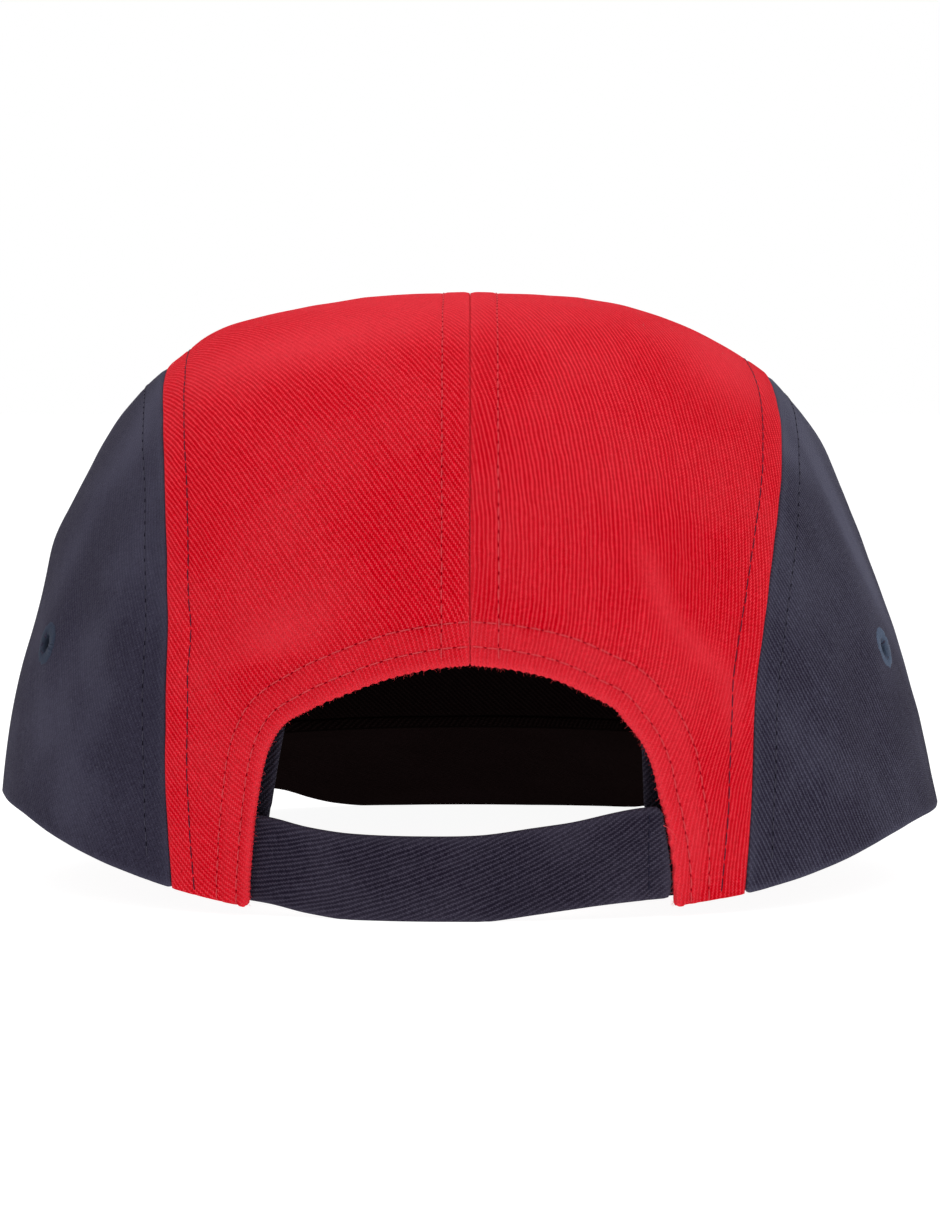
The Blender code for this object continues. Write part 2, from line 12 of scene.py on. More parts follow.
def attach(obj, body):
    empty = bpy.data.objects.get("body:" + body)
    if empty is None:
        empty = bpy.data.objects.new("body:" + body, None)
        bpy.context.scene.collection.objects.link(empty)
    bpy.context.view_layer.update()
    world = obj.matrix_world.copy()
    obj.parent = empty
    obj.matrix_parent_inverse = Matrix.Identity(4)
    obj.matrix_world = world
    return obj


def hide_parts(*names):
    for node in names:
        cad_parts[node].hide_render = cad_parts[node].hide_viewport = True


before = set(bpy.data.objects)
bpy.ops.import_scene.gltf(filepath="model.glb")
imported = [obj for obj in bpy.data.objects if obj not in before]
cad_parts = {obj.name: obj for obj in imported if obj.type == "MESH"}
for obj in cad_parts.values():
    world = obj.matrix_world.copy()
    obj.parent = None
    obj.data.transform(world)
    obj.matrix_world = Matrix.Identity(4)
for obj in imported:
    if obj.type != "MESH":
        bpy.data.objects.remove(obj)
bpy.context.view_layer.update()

# The two back halves of the red band are cut from washed cotton twill and meet in a seam down the
# middle, on the crown's low, squarish form. Navy thread holds their outer seams, and at the arched
# opening their edge is turned under and held by two rows of red thread. Lengths are metres.
CROWN_MIDDLE = -0.034743
CROWN_HALF_WIDTH = 0.098
CROWN_REACH = 0.092
CROWN_TOP = 0.1218
RIM_RISE = 0.027
DENT_DEPTH = 0.0016
CLOTH_WALL = 0.0016
BAND_HALF_WIDTH = 0.064
BAND_AXIS = 0.030
FRONT_SEAM_FORWARD = 0.040
FRONT_SEAM_BOW = 0.006
ARCH_HALF_WIDTH = 0.043
ARCH_HEIGHT = 0.0496
ARCH_EDGE_LENGTH = 0.068
FAN_TURN = 13.0
FAN_SHARE = 0.44
SEAM_ROLL = 0.00018
HEM_ROLL = 0.0005
HEM_CORNER = 0.0012
HEM_RAISED = 0.00028
HEM_ROPING, HEM_ROPING_SLANT = 0.00005, 110.0
HEM_NOTCHES = 0.00016
HEM_WEAR, HEM_WEAR_TO_THE_RIGHT = 0.20, 0.06
EDGE_WEAR, EDGE_WEAR_WIDTH = 0.45, 0.0011
SEAM_WEAR, SEAM_WEAR_WIDTH = 0.25, 0.0009
WEAR_ALL_OVER = 0.04
NEAR_ROW_SUNK, NEAR_ROW_WIDTH = 0.00024, 0.00045
FAR_ROW_SUNK, FAR_ROW_WIDTH = 0.00022, 0.00050
FIBRE_THICKNESS = 0.00005
ROW_POINTS = 160
STITCH_PITCH = 0.0028
SEAM_STITCHES = {"pitch": 0.0030, "thick": 0.00022, "gap": 0.0005, "rise": 0.00005}
# Dark thread pieces in the gaps between the stitches: painted shade in the needle holes.
NEEDLE_HOLE_SHADE = {"thick": 0.00022, "gap": 0.0023, "rise": 0.00003, "shift": 0.5}
SEAM_TO_STITCHES = 0.0057
MIDDLE_TO_STITCHES = 0.0055
WALE_PITCH = 0.00084
FADES_AHEAD_START, FADES_AHEAD_END = -0.004, 0.034
UP = np.array([0.0, 0.0, 1.0])
ACROSS = np.array([1.0, 0.0, 0.0])


def named_rows(columns, *rows):
    """Rows of numbers whose columns have names."""
    row = namedtuple("Row", columns)
    return [row(*numbers) for numbers in rows]


CROWN_SECTIONS = named_rows(
    "rise left right back front roundness",
    (0.00, 1.000, 1.000, 0.985, 1.000, 2.00),
    (0.20, 0.967, 0.948, 1.000, 0.980, 2.05),
    (0.38, 0.914, 0.889, 0.990, 0.950, 2.10),
    (0.55, 0.857, 0.819, 0.945, 0.910, 2.15),
    (0.70, 0.776, 0.752, 0.855, 0.850, 2.20),
    (0.80, 0.700, 0.674, 0.755, 0.785, 2.25),
    (0.87, 0.616, 0.584, 0.650, 0.700, 2.30),
    (0.93, 0.520, 0.465, 0.525, 0.585, 2.30),
    (0.97, 0.355, 0.337, 0.380, 0.440, 2.20),
    (0.99, 0.228, 0.234, 0.240, 0.290, 2.05),
)
RIM_POINTS = named_rows(
    "along left right",
    (-1.00, 0.02, 0.02),
    (-0.90, 0.06, 0.08),
    (-0.80, 0.16, 0.16),
    (-0.65, 0.32, 0.31),
    (-0.50, 0.46, 0.45),
    (-0.35, 0.58, 0.53),
    (-0.15, 0.65, 0.56),
    (0.10, 0.68, 0.64),
    (0.40, 0.78, 0.77),
    (0.70, 0.92, 0.92),
    (1.00, 1.00, 1.00),
)
DENTS = named_rows(
    "angle rise turn climb depth",
    (-34.0, 0.44, 7.0, 0.05, 0.80),
    (-22.0, 0.56, 9.0, 0.06, -0.40),
    (24.0, 0.52, 6.0, 0.14, -0.60),
    (33.0, 0.34, 5.0, 0.12, 0.60),
    (-62.0, 0.45, 7.0, 0.22, 0.70),
    (-98.0, 0.50, 10.0, 0.16, -0.60),
    (60.0, 0.25, 6.0, 0.18, 0.60),
    (100.0, 0.40, 12.0, 0.20, 0.50),
    (140.0, 0.62, 14.0, 0.12, 0.70),
    (-145.0, 0.58, 16.0, 0.12, 0.60),
)
SEAM_POINTS = named_rows(
    "height left right",
    (-0.10, 0.905, 0.820),
    (0.04, 0.918, 0.845),
    (0.20, 0.935, 0.866),
    (0.37, 0.936, 0.882),
    (0.54, 0.935, 0.930),
    (0.66, 0.948, 0.966),
    (0.78, 0.968, 0.984),
    (0.88, 0.985, 0.968),
    (1.20, 0.985, 0.968),
)
ARCH_POINTS = named_rows(
    "height left right",
    (-0.30, 1.000, 0.880),
    (0.06, 1.000, 0.905),
    (0.14, 1.000, 0.922),
    (0.37, 0.975, 0.886),
    (0.48, 0.957, 0.854),
    (0.59, 0.934, 0.825),
    (0.69, 0.895, 0.776),
    (0.77, 0.828, 0.705),
    (0.83, 0.702, 0.645),
    (0.87, 0.600, 0.560),
    (0.945, 0.370, 0.370),
    (0.985, 0.170, 0.170),
    (1.00, 0.000, 0.000),
)
# Distances of the two stitch rows from the arch's edge, from its top (0) to its foot (1).
ARCH_ROWS = named_rows(
    "down left_near left_far right_near right_far",
    (0.00, 0.0036, 0.0083, 0.0036, 0.0083),
    (0.35, 0.0034, 0.0080, 0.0035, 0.0088),
    (0.60, 0.0026, 0.0070, 0.0034, 0.0088),
    (1.00, 0.0023, 0.0060, 0.0032, 0.0052),
)
# Soft folds seen from behind: place, reach along and over the fold, lean in degrees, and depth,
# which is negative where the cloth stands out.
FOLD = "across height along over lean depth"
RED_FOLDS = named_rows(
    FOLD,
    (-0.0405, 0.0470, 0.0085, 0.0034, 24.0, 0.00090),
    (-0.0370, 0.0550, 0.0100, 0.0050, 20.0, -0.00060),
    (-0.0340, 0.0670, 0.0080, 0.0070, 10.0, 0.00050),
    (-0.0510, 0.0520, 0.0045, 0.0080, 0.0, 0.00045),
    (-0.0545, 0.0830, 0.0030, 0.0110, 0.0, 0.00050),
    (-0.0100, 0.0580, 0.0035, 0.0025, 0.0, 0.00035),
    (0.0120, 0.0580, 0.0035, 0.0025, 0.0, 0.00035),
    (0.0350, 0.0670, 0.0045, 0.0100, -18.0, -0.00055),
    (0.0435, 0.0520, 0.0045, 0.0095, -34.0, -0.00065),
    (0.0500, 0.0390, 0.0035, 0.0070, -6.0, -0.00040),
    (0.0505, 0.0590, 0.0045, 0.0100, -12.0, 0.00050),
    (-0.0200, 0.0900, 0.0120, 0.0060, 12.0, 0.00030),
    (0.0220, 0.0850, 0.0090, 0.0140, -20.0, 0.00030),
)
# Painted light and shade on the red cloth, as seen from behind, in the same way: painted highlights
# on the top rim, the shoulders and the ridges of folds, and painted shade in hollows, where the last
# number is negative.
RED_PAINTED_LIGHT_AND_SHADE = named_rows(
    FOLD,
    (-0.0370, 0.1100, 0.0240, 0.0042, 13.0, 0.60),
    (0.0000, 0.1220, 0.0650, 0.0080, 0.0, 0.50),
    (0.0515, 0.1070, 0.0110, 0.0060, -35.0, 0.55),
    (-0.0375, 0.0545, 0.0100, 0.0048, 22.0, 0.40),
    (-0.0405, 0.0468, 0.0080, 0.0028, 22.0, -0.30),
    (-0.0545, 0.0830, 0.0032, 0.0100, 0.0, -0.28),
    (-0.0103, 0.0576, 0.0034, 0.0022, 0.0, -0.30),
    (0.0123, 0.0576, 0.0034, 0.0022, 0.0, -0.30),
    (0.0360, 0.0650, 0.0090, 0.0024, -68.0, 0.40),
    (0.0445, 0.0520, 0.0100, 0.0024, -48.0, 0.42),
    (0.0508, 0.0400, 0.0070, 0.0022, -83.0, 0.35),
    (0.0470, 0.0720, 0.0050, 0.0120, -10.0, -0.20),
    (-0.0150, 0.0760, 0.0140, 0.0110, 0.0, -0.16),
)
# Direction of the twill's lines seen from behind, in degrees from level, by height, and beside
# the arch, from its top to its foot.
RED_TWILL_LEANS = named_rows(
    "height left_edge left right",
    (0.000, -46.0, -40.0, -92.0),
    (0.020, -48.0, -40.0, -96.0),
    (0.035, -50.0, -45.0, -112.0),
    (0.050, -54.0, -52.0, -100.0),
    (0.075, -60.0, -56.0, -88.0),
    (0.100, -66.0, -56.0, -76.0),
    (0.122, -70.0, -54.0, -68.0),
)
HEM_LEANS = named_rows(
    "down left right",
    (0.00, -82.0, -92.0),
    (0.30, -62.0, -110.0),
    (0.55, -40.0, -118.0),
    (1.00, -31.0, -96.0),
)


def read_table(rows, value):
    """The rows of a table at values of its first column, blended smoothly between its rows."""
    table = np.array(rows, float)
    value = np.asarray(value, float)
    last = len(table) - 1
    index = np.clip(np.searchsorted(table[:, 0], value) - 1, 0, last - 1)
    start, end = table[index], table[index + 1]
    before, after = table[np.maximum(index - 1, 0)], table[np.minimum(index + 2, last)]
    span = end[..., :1] - start[..., :1]
    share = np.clip((value[..., None] - start[..., :1]) / span, 0.0, 1.0)
    slope_in = (end - before) * span / (end[..., :1] - before[..., :1])
    slope_out = (after - start) * span / (after[..., :1] - start[..., :1])
    return (
        start * (1.0 + 2.0 * share) * (1.0 - share) ** 2
        + slope_in * share * (1.0 - share) ** 2
        + end * share ** 2 * (3.0 - 2.0 * share)
        + slope_out * share ** 2 * (share - 1.0)
    )


def step_between(low, high, value):
    """Zero below low, one above high, and a smooth step between."""
    share = np.clip((value - low) / (high - low), 0.0, 1.0)
    return share * share * (3.0 - 2.0 * share)


def fading(distance, width):
    """One at no distance, and a soft fall over the width to either side."""
    return np.exp(-(distance / width) ** 2)


def signed_power(value, power):
    return np.sign(value) * np.abs(value) ** power


def unit(vectors):
    return vectors / np.maximum(np.linalg.norm(vectors, axis=-1, keepdims=True), 1e-12)


def crown_rim(angle):
    """Height of the rim over the table, at an angle from the middle of the back towards +X."""
    turn = np.radians(angle)
    row = read_table(RIM_POINTS, -np.cos(turn))
    return np.where(np.sin(turn) >= 0.0, row[..., 2], row[..., 1]) * RIM_RISE


def crown_reaches(angle, rise):
    """Half-length across, half-length along and roundness of the crown's section."""
    dome = CROWN_SECTIONS[-1].rise
    row = read_table(CROWN_SECTIONS, np.minimum(rise, dome))
    closing = np.sqrt(np.clip((1.0 - rise) / (1.0 - dome), 1e-9, 1.0))
    turn = np.radians(angle)
    across = np.where(np.sin(turn) >= 0.0, row[..., 2], row[..., 1]) * closing
    along = np.where(np.cos(turn) >= 0.0, row[..., 3], row[..., 4]) * closing
    return across * CROWN_HALF_WIDTH, along * CROWN_REACH, row[..., 5]


def crown_form(angle, rise):
    """Points of the crown's form without dents. Rise is a share of the height over the rim."""
    angle, rise = np.broadcast_arrays(np.asarray(angle, float), np.asarray(rise, float))
    across, along, roundness = crown_reaches(angle, rise)
    sine, cosine = np.sin(np.radians(angle)), np.cos(np.radians(angle))
    x = across * signed_power(sine, 2.0 / roundness)
    y = -along * signed_power(cosine, 2.0 / roundness)
    base = crown_rim(angle)
    return np.stack([x, y, base + (CROWN_TOP - base) * rise], axis=-1)


def crown_out(angle, rise):
    """The outward direction of the crown's face."""
    low = np.clip(rise, 0.01, 0.98)
    around = crown_form(angle + 1.0, low) - crown_form(angle - 1.0, low)
    upward = crown_form(angle, low + 0.01) - crown_form(angle, low - 0.01)
    return unit(np.cross(around, upward))


def crown_cloth(angle, rise, inset=0.0):
    """Points of the dented crown, or of a layer that lies the inset inside it."""
    depth = np.zeros(np.broadcast(angle, rise).shape) + inset
    for dent in DENTS:
        turn = (angle - dent.angle + 180.0) % 360.0 - 180.0
        away = (turn / dent.turn) ** 2 + ((rise - dent.rise) / dent.climb) ** 2
        depth = depth + dent.depth * DENT_DEPTH * np.exp(-away)
    return crown_form(angle, rise) - crown_out(angle, rise) * depth[..., None]


def crown_place(points):
    """Angle and rise of points near the crown, and how far out they lie: 1 is on its face."""
    x, y, z = np.moveaxis(points, -1, 0)
    angle = np.degrees(np.arctan2(x / CROWN_HALF_WIDTH, -y / CROWN_REACH))
    for _ in range(3):
        base = crown_rim(angle)
        rise = (z - base) / (CROWN_TOP - base)
        across, along, roundness = crown_reaches(angle, rise)
        sideways = (np.abs(x) / across) ** (roundness / 2.0)
        lengthways = (np.abs(y) / along) ** (roundness / 2.0)
        angle = np.degrees(np.arctan2(np.copysign(sideways, x), np.copysign(lengthways, -y)))
    return angle, rise, sideways ** 2 + lengthways ** 2


def bisect(low, high, beyond, steps=18):
    """Values between low and high at which beyond turns true."""
    low, high = np.broadcast_arrays(np.asarray(low, float), np.asarray(high, float))
    for _ in range(steps):
        middle = (low + high) / 2.0
        past = beyond(middle)
        low, high = np.where(past, low, middle), np.where(past, middle, high)
    return (low + high) / 2.0


def on_band(across, turn):
    """Points of the band: a place across, and a turn from level behind (0) over the top (90)."""
    across, turn = np.broadcast_arrays(np.asarray(across, float), np.asarray(turn, float))
    cosine, sine = np.cos(np.radians(turn)), np.sin(np.radians(turn))

    def place(reach):
        return np.stack([across, -reach * cosine, BAND_AXIS + reach * sine], axis=-1)

    return place(bisect(0.04, 0.125, lambda reach: crown_place(place(reach))[2] > 1.0))


def seam_across(side, turn):
    """Where the seam to a side panel lies, at a turn over the crown."""
    across = np.full(np.shape(turn), side * BAND_HALF_WIDTH * 0.95)
    for _ in range(4):
        row = read_table(SEAM_POINTS, on_band(across, turn)[..., 2] / CROWN_TOP)
        across = side * BAND_HALF_WIDTH * (row[..., 2] if side > 0 else row[..., 1])
    return across


BACK_SEAM_END, FRONT_SEAM_START = 118.0, 108.0
SEAM_TURNS = np.linspace(-40.0, 205.0, 420)
SEAMS = {side: seam_across(side, SEAM_TURNS) for side in (-1, 1)}


def turn_where(across, low, high, beyond):
    """The turn at which the band's points pass a line, by places across."""
    places = np.linspace(-0.068, 0.068, 69)
    turns = bisect(np.full(len(places), low), high, lambda turn: beyond(on_band(places, turn)))
    return np.interp(across, places, turns)


def front_seam(across, shift=0.0):
    """The turn at which the band reaches the seam of the front panel."""

    def ahead(points):
        bow = FRONT_SEAM_BOW * (1.0 - (points[..., 0] / CROWN_HALF_WIDTH) ** 2)
        return points[..., 1] > FRONT_SEAM_FORWARD - bow + shift

    return turn_where(across, 60.0, 150.0, ahead)


def back_rim(across):
    """The turn at which the band reaches the rim behind."""
    return turn_where(across, -45.0, 30.0, lambda points: crown_place(points)[1] > 0.0)


def lengths_along(line):
    """How far along a line its points lie."""
    return np.concatenate([[0.0], np.cumsum(np.linalg.norm(np.diff(line, axis=0), axis=1))])


def vectors_at(places, lengths, vectors):
    """The vectors at places between the lengths at which they are given."""
    return np.stack([np.interp(places, lengths, column) for column in vectors.T], axis=-1)


def resample(line, shares):
    """Points of a line at shares of its length."""
    lengths = lengths_along(line)
    return vectors_at(shares * lengths[-1], lengths, line)


def spaced(count, shares, places):
    """Numbers from 0 to 1 at even steps, moved so that the given shares come to the places."""
    return np.interp(np.linspace(0.0, 1.0, count), shares, places)


def near_line(points, line):
    """Distance of each point to a line, and the share of the line at its nearest place."""
    best = np.full(len(points), 1e9)
    place = np.zeros(len(points))
    start = 0.0
    for one, other in zip(line[:-1], line[1:]):
        step = other - one
        length = np.linalg.norm(step)
        share = np.clip(((points - one) @ step) / length ** 2, 0.0, 1.0)
        away = np.linalg.norm(points - one - share[:, None] * step, axis=1)
        nearer = away < best
        best = np.where(nearer, away, best)
        place = np.where(nearer, start + share * length, place)
        start += length
    return best, place / start


def grid_cells(number):
    """The four-cornered cells of a grid of point numbers."""
    corners = (number[:-1, :-1], number[:-1, 1:], number[1:, 1:], number[1:, :-1])
    return np.stack(corners, axis=-1).reshape(-1, 4)


def cells_out(points, cells):
    """Directions across the cells, at their corners, by the way the cells are wound."""
    placed = points[cells]
    face = np.cross(placed[:, 2] - placed[:, 0], placed[:, 3] - placed[:, 1])
    total = np.zeros_like(points)
    for corner in range(4):
        np.add.at(total, cells[:, corner], face)
    return unit(total)


def wound_out(points, cells, out):
    """The cells, turned over if they are wound against the outward directions."""
    facing = np.sum(cells_out(points, cells) * out, axis=1)[np.unique(cells)].mean()
    return cells if facing > 0.0 else cells[:, ::-1]


def grid_wound_out(points, rows, columns, out):
    return wound_out(points, grid_cells(np.arange(rows * columns).reshape(rows, columns)), out)


def steps_to_field(start, end, wanted, weight, field):
    """The values whose steps from start to end come nearest to those wanted."""
    count = len(field)

    def gather(flow):
        return np.bincount(end, flow, count) - np.bincount(start, flow, count)

    diagonal = np.bincount(end, weight, count) + np.bincount(start, weight, count)
    rest = gather(weight * (wanted - (field[end] - field[start])))
    eased = rest / diagonal
    search, power = eased, rest @ eased
    for _ in range(420):
        if power < 1e-7:
            break
        pushed = gather(weight * (search[end] - search[start]))
        size = power / (search @ pushed)
        field = field + size * search
        rest = rest - size * pushed
        eased = rest / diagonal
        power, before = rest @ eased, power
        search = eased + power / before * search
    return field


def lay_weave(points, cells, lean, start_places, level=ACROSS, out=None):
    """Weave places of a cloth: lines of the twill counted across them, and pitches along them.

    lean is the lines' direction in degrees from level towards up, where level is a direction, or
    None for level around the crown. start_places are rough distances along level and up, that the
    search for the weave's places starts from. out is found from the cells unless it is given.
    """
    out = cells_out(points, cells) if out is None else out
    level = np.cross(UP, out) if level is None else level
    level = unit(level - out * np.sum(out * level, axis=1, keepdims=True))
    upward = np.cross(out, level)
    lean = np.radians(np.broadcast_to(lean, (len(points),)))[:, None]
    start, end = cells.ravel(), np.roll(cells, -1, axis=1).ravel()
    step = points[end] - points[start]
    length = np.maximum(np.linalg.norm(step, axis=1), 1e-6)
    sides = length.reshape(-1, 4)
    beside = (np.roll(sides, 1, axis=1) + np.roll(sides, -1, axis=1)).ravel() / 4.0
    along, up = start_places
    middle = np.mean(lean)
    places = []
    cosine, sine = math.cos(middle), math.sin(middle)
    for way, rough in (
        (upward * np.cos(lean) - level * np.sin(lean), up * cosine - along * sine),
        (level * np.cos(lean) + upward * np.sin(lean), along * cosine + up * sine),
    ):
        wanted = np.sum((way[start] + way[end]) / 2.0 * step, axis=1) / WALE_PITCH
        places.append(steps_to_field(start, end, wanted, beside / length, rough / WALE_PITCH))
    return np.stack(places, axis=1)


def new_object(name, data):
    made = bpy.data.objects.new(name, data)
    bpy.context.scene.collection.objects.link(made)
    return made


def made_mesh(name, points, faces, materials, marks=None, weave=None, wear_and_painted_light=None):
    """An object on the cap from arrays: smooth, above the table, with its weave places."""
    mesh = bpy.data.meshes.new(name)
    points = points + np.array([0.0, CROWN_MIDDLE, 0.0])
    points[:, 2] = np.maximum(points[:, 2], 0.0)
    mesh.from_pydata(points.tolist(), [], faces.tolist())
    mesh.polygons.foreach_set("use_smooth", np.ones(len(mesh.polygons), bool))
    for material in materials:
        mesh.materials.append(material)
    if marks is not None:
        mesh.polygons.foreach_set("material_index", marks.astype(np.int32))
    corners = np.zeros(len(mesh.loops), np.int32)
    mesh.loops.foreach_get("vertex_index", corners)
    if weave is not None:
        layer = mesh.uv_layers.new(name="weave")
        layer.data.foreach_set("uv", weave[corners].astype(np.float32).ravel())
    # This attribute holds wear and, on the red and navy panels, painted highlights and painted shade.
    if wear_and_painted_light is not None:
        layer = mesh.attributes.new("wear_and_painted_light", "FLOAT", "POINT")
        layer.data.foreach_set("value", wear_and_painted_light.astype(np.float32))
    mesh.update()
    made = new_object(name, mesh)
    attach(made, "root")
    return made


def cloth_piece(name, points, cells, out, weave, materials, wall=CLOTH_WALL, roll=SEAM_ROLL,
                wear_and_painted_light=None, rims=2):
    """A closed piece of cloth from points on its outer face, with rolled rims.

    rims tells which of the materials each point's rim has. The faces have the first two.
    """
    count = len(points)
    start, end = cells.ravel(), np.roll(cells, -1, axis=1).ravel()
    free = ~np.isin(start * count + end, end * count + start)
    following = np.full(count, -1)
    leading = np.full(count, -1)
    following[start[free]] = end[free]
    leading[end[free]] = start[free]
    rim = np.nonzero((following >= 0) & (leading >= 0))[0]
    place = np.full(count, -1)
    place[rim] = np.arange(len(rim))
    along = unit(points[following[rim]] - points[leading[rim]])
    outward = unit(np.cross(along, out[rim]))
    reach = np.broadcast_to(roll, (count,))[rim][:, None]
    layers, loops = [points, points - out * wall], [rim]
    for index, turn in enumerate((0.25, 0.5, 0.75)):
        depth = (1.0 - math.cos(turn * math.pi)) / 2.0 * wall
        layers.append(points[rim] - out[rim] * depth + outward * reach * math.sin(turn * math.pi))
        loops.append(2 * count + index * len(rim) + np.arange(len(rim)))
    loops.append(rim + count)
    faces, marks = [cells, cells[:, ::-1] + count], [np.zeros(len(cells)), np.ones(len(cells))]
    after = place[following[rim]]
    for high, low in zip(loops[:-1], loops[1:]):
        faces.append(np.stack([high[after], high, low, low[after]], axis=1))
        marks.append(np.broadcast_to(rims, (count,))[rim])
    source = np.concatenate([np.arange(count), np.arange(count), rim, rim, rim])
    places = weave[source]
    on_rim = np.zeros(count, bool)
    on_rim[rim] = True
    near, far = np.concatenate([start, end]), np.concatenate([end, start])
    crossing = on_rim[near] & ~on_rim[far]
    near, far = near[crossing], far[crossing]
    apart = np.linalg.norm(points[near] - points[far], axis=1)
    for axis in (0, 1):
        steep = np.bincount(near, (weave[near, axis] - weave[far, axis]) / apart, count)
        steep = (steep / np.maximum(np.bincount(near, minlength=count), 1))[rim]
        for ring in range(3):
            first = 2 * count + ring * len(rim)
            places[first:first + len(rim), axis] += (ring + 1) * wall / 4.0 * steep
    return made_mesh(name, np.concatenate(layers), np.concatenate(faces), materials,
                     np.concatenate(marks), places, None if wear_and_painted_light is None else wear_and_painted_light[source])


def feed(node, inputs):
    """Give a shader node's inputs their values, or link other nodes' outputs to them."""
    for socket, value in inputs.items():
        if isinstance(value, bpy.types.NodeSocket):
            node.id_data.links.new(value, node.inputs[socket])
        else:
            node.inputs[socket].default_value = value
    return node


def add_node(tree, kind, inputs=None, **options):
    """A new shader node of a kind, with its options and its inputs."""
    node = tree.nodes.new(kind)
    for option, value in options.items():
        setattr(node, option, value)
    return feed(node, inputs or {})


def twill_group():
    """Twill: diagonal lines of floats that beat along their length, on uneven yarns."""
    group = bpy.data.node_groups.new("twill", "ShaderNodeTree")
    group.interface.new_socket("Weave", in_out="INPUT", socket_type="NodeSocketVector")
    for socket, value in (("Beads", 0.5), ("Fibres", 0.5), ("Lint", 0.7), ("Clearness", 1.0)):
        made = group.interface.new_socket(socket, in_out="INPUT", socket_type="NodeSocketFloat")
        made.default_value = value
    for socket in ("Lines", "Yarns", "Fuzz", "Height"):
        group.interface.new_socket(socket, in_out="OUTPUT", socket_type="NodeSocketFloat")
    given = add_node(group, "NodeGroupInput").outputs

    def worked(operation, *values):
        node = add_node(group, "ShaderNodeMath", dict(enumerate(values)), operation=operation)
        return node.outputs[0]

    def noise(scale, detail, stretch):
        place = add_node(group, "ShaderNodeMapping", {"Vector": given["Weave"], "Scale": stretch})
        return add_node(group, "ShaderNodeTexNoise", {
            "Vector": place.outputs[0], "Scale": scale, "Detail": detail}).outputs["Fac"]

    def wave(turns):
        return worked("COSINE", worked("MULTIPLY", turns, 2.0 * math.pi))

    across, along, _ = add_node(group, "ShaderNodeSeparateXYZ", {0: given["Weave"]}).outputs
    count = worked("MULTIPLY_ADD", noise(0.30, 3.0, (1.0, 0.45, 1.0)), 0.9, across)
    line = worked("MULTIPLY_ADD", wave(count), 0.5, 0.5)
    wale = worked("FLOOR", count)
    beat = worked("MULTIPLY_ADD", along, 1.45, worked("MULTIPLY", wale, 0.37))
    beat = worked("MULTIPLY_ADD", count, 0.5, beat)
    beads = worked("MULTIPLY", wave(beat), given["Beads"])
    yarns = noise(1.0, 3.0, (1.1, 0.05, 1.0))
    slubs = noise(1.0, 2.0, (0.5, 1.5, 1.0))
    fuzz = noise(3.1, 4.0, (1.0, 1.0, 1.0))
    fibres = worked("SUBTRACT", fuzz, 0.5)
    lined = worked("MULTIPLY_ADD", worked("MULTIPLY", beads, line), 0.6, line)
    lined = worked("MULTIPLY_ADD", worked("SUBTRACT", lined, 0.5), given["Clearness"], 0.5)
    lined = worked("ADD", lined, worked("SUBTRACT", slubs, 0.5))
    lined = worked("MULTIPLY_ADD", fibres, given["Lint"], lined)
    height = worked("MULTIPLY_ADD", fibres, given["Fibres"], lined)
    uneven = worked("MULTIPLY_ADD", slubs, 0.35, worked("MULTIPLY", yarns, 0.65))
    feed(group.nodes.new("NodeGroupOutput"), {
        "Lines": lined, "Yarns": uneven, "Fuzz": fuzz, "Height": height})
    return group


TWILL = twill_group()


def woven_material(name):
    """A material with its shader, and the weave's places that its pattern follows."""
    material = bpy.data.materials.new(name)
    material.use_nodes = True
    tree = material.node_tree
    place = add_node(tree, "ShaderNodeUVMap", uv_map="weave").outputs[0]
    return material, tree, tree.nodes["Principled BSDF"], place


def mixed(tree, share, first, second):
    """A share of the second of two colours over the first."""
    first, second = (colour if isinstance(colour, bpy.types.NodeSocket) else (*colour, 1.0)
                     for colour in (first, second))
    inputs = {0: share, 6: first, 7: second}
    return add_node(tree, "ShaderNodeMix", inputs, data_type="RGBA").outputs[2]


def ramp(tree, *values):
    """A value from between two numbers brought to between two others, 0 and 1 at first."""
    return add_node(tree, "ShaderNodeMapRange", dict(enumerate(values))).outputs[0]


def bumped(tree, height, distance):
    return add_node(tree, "ShaderNodeBump", {"Height": height, "Distance": distance}).outputs[0]


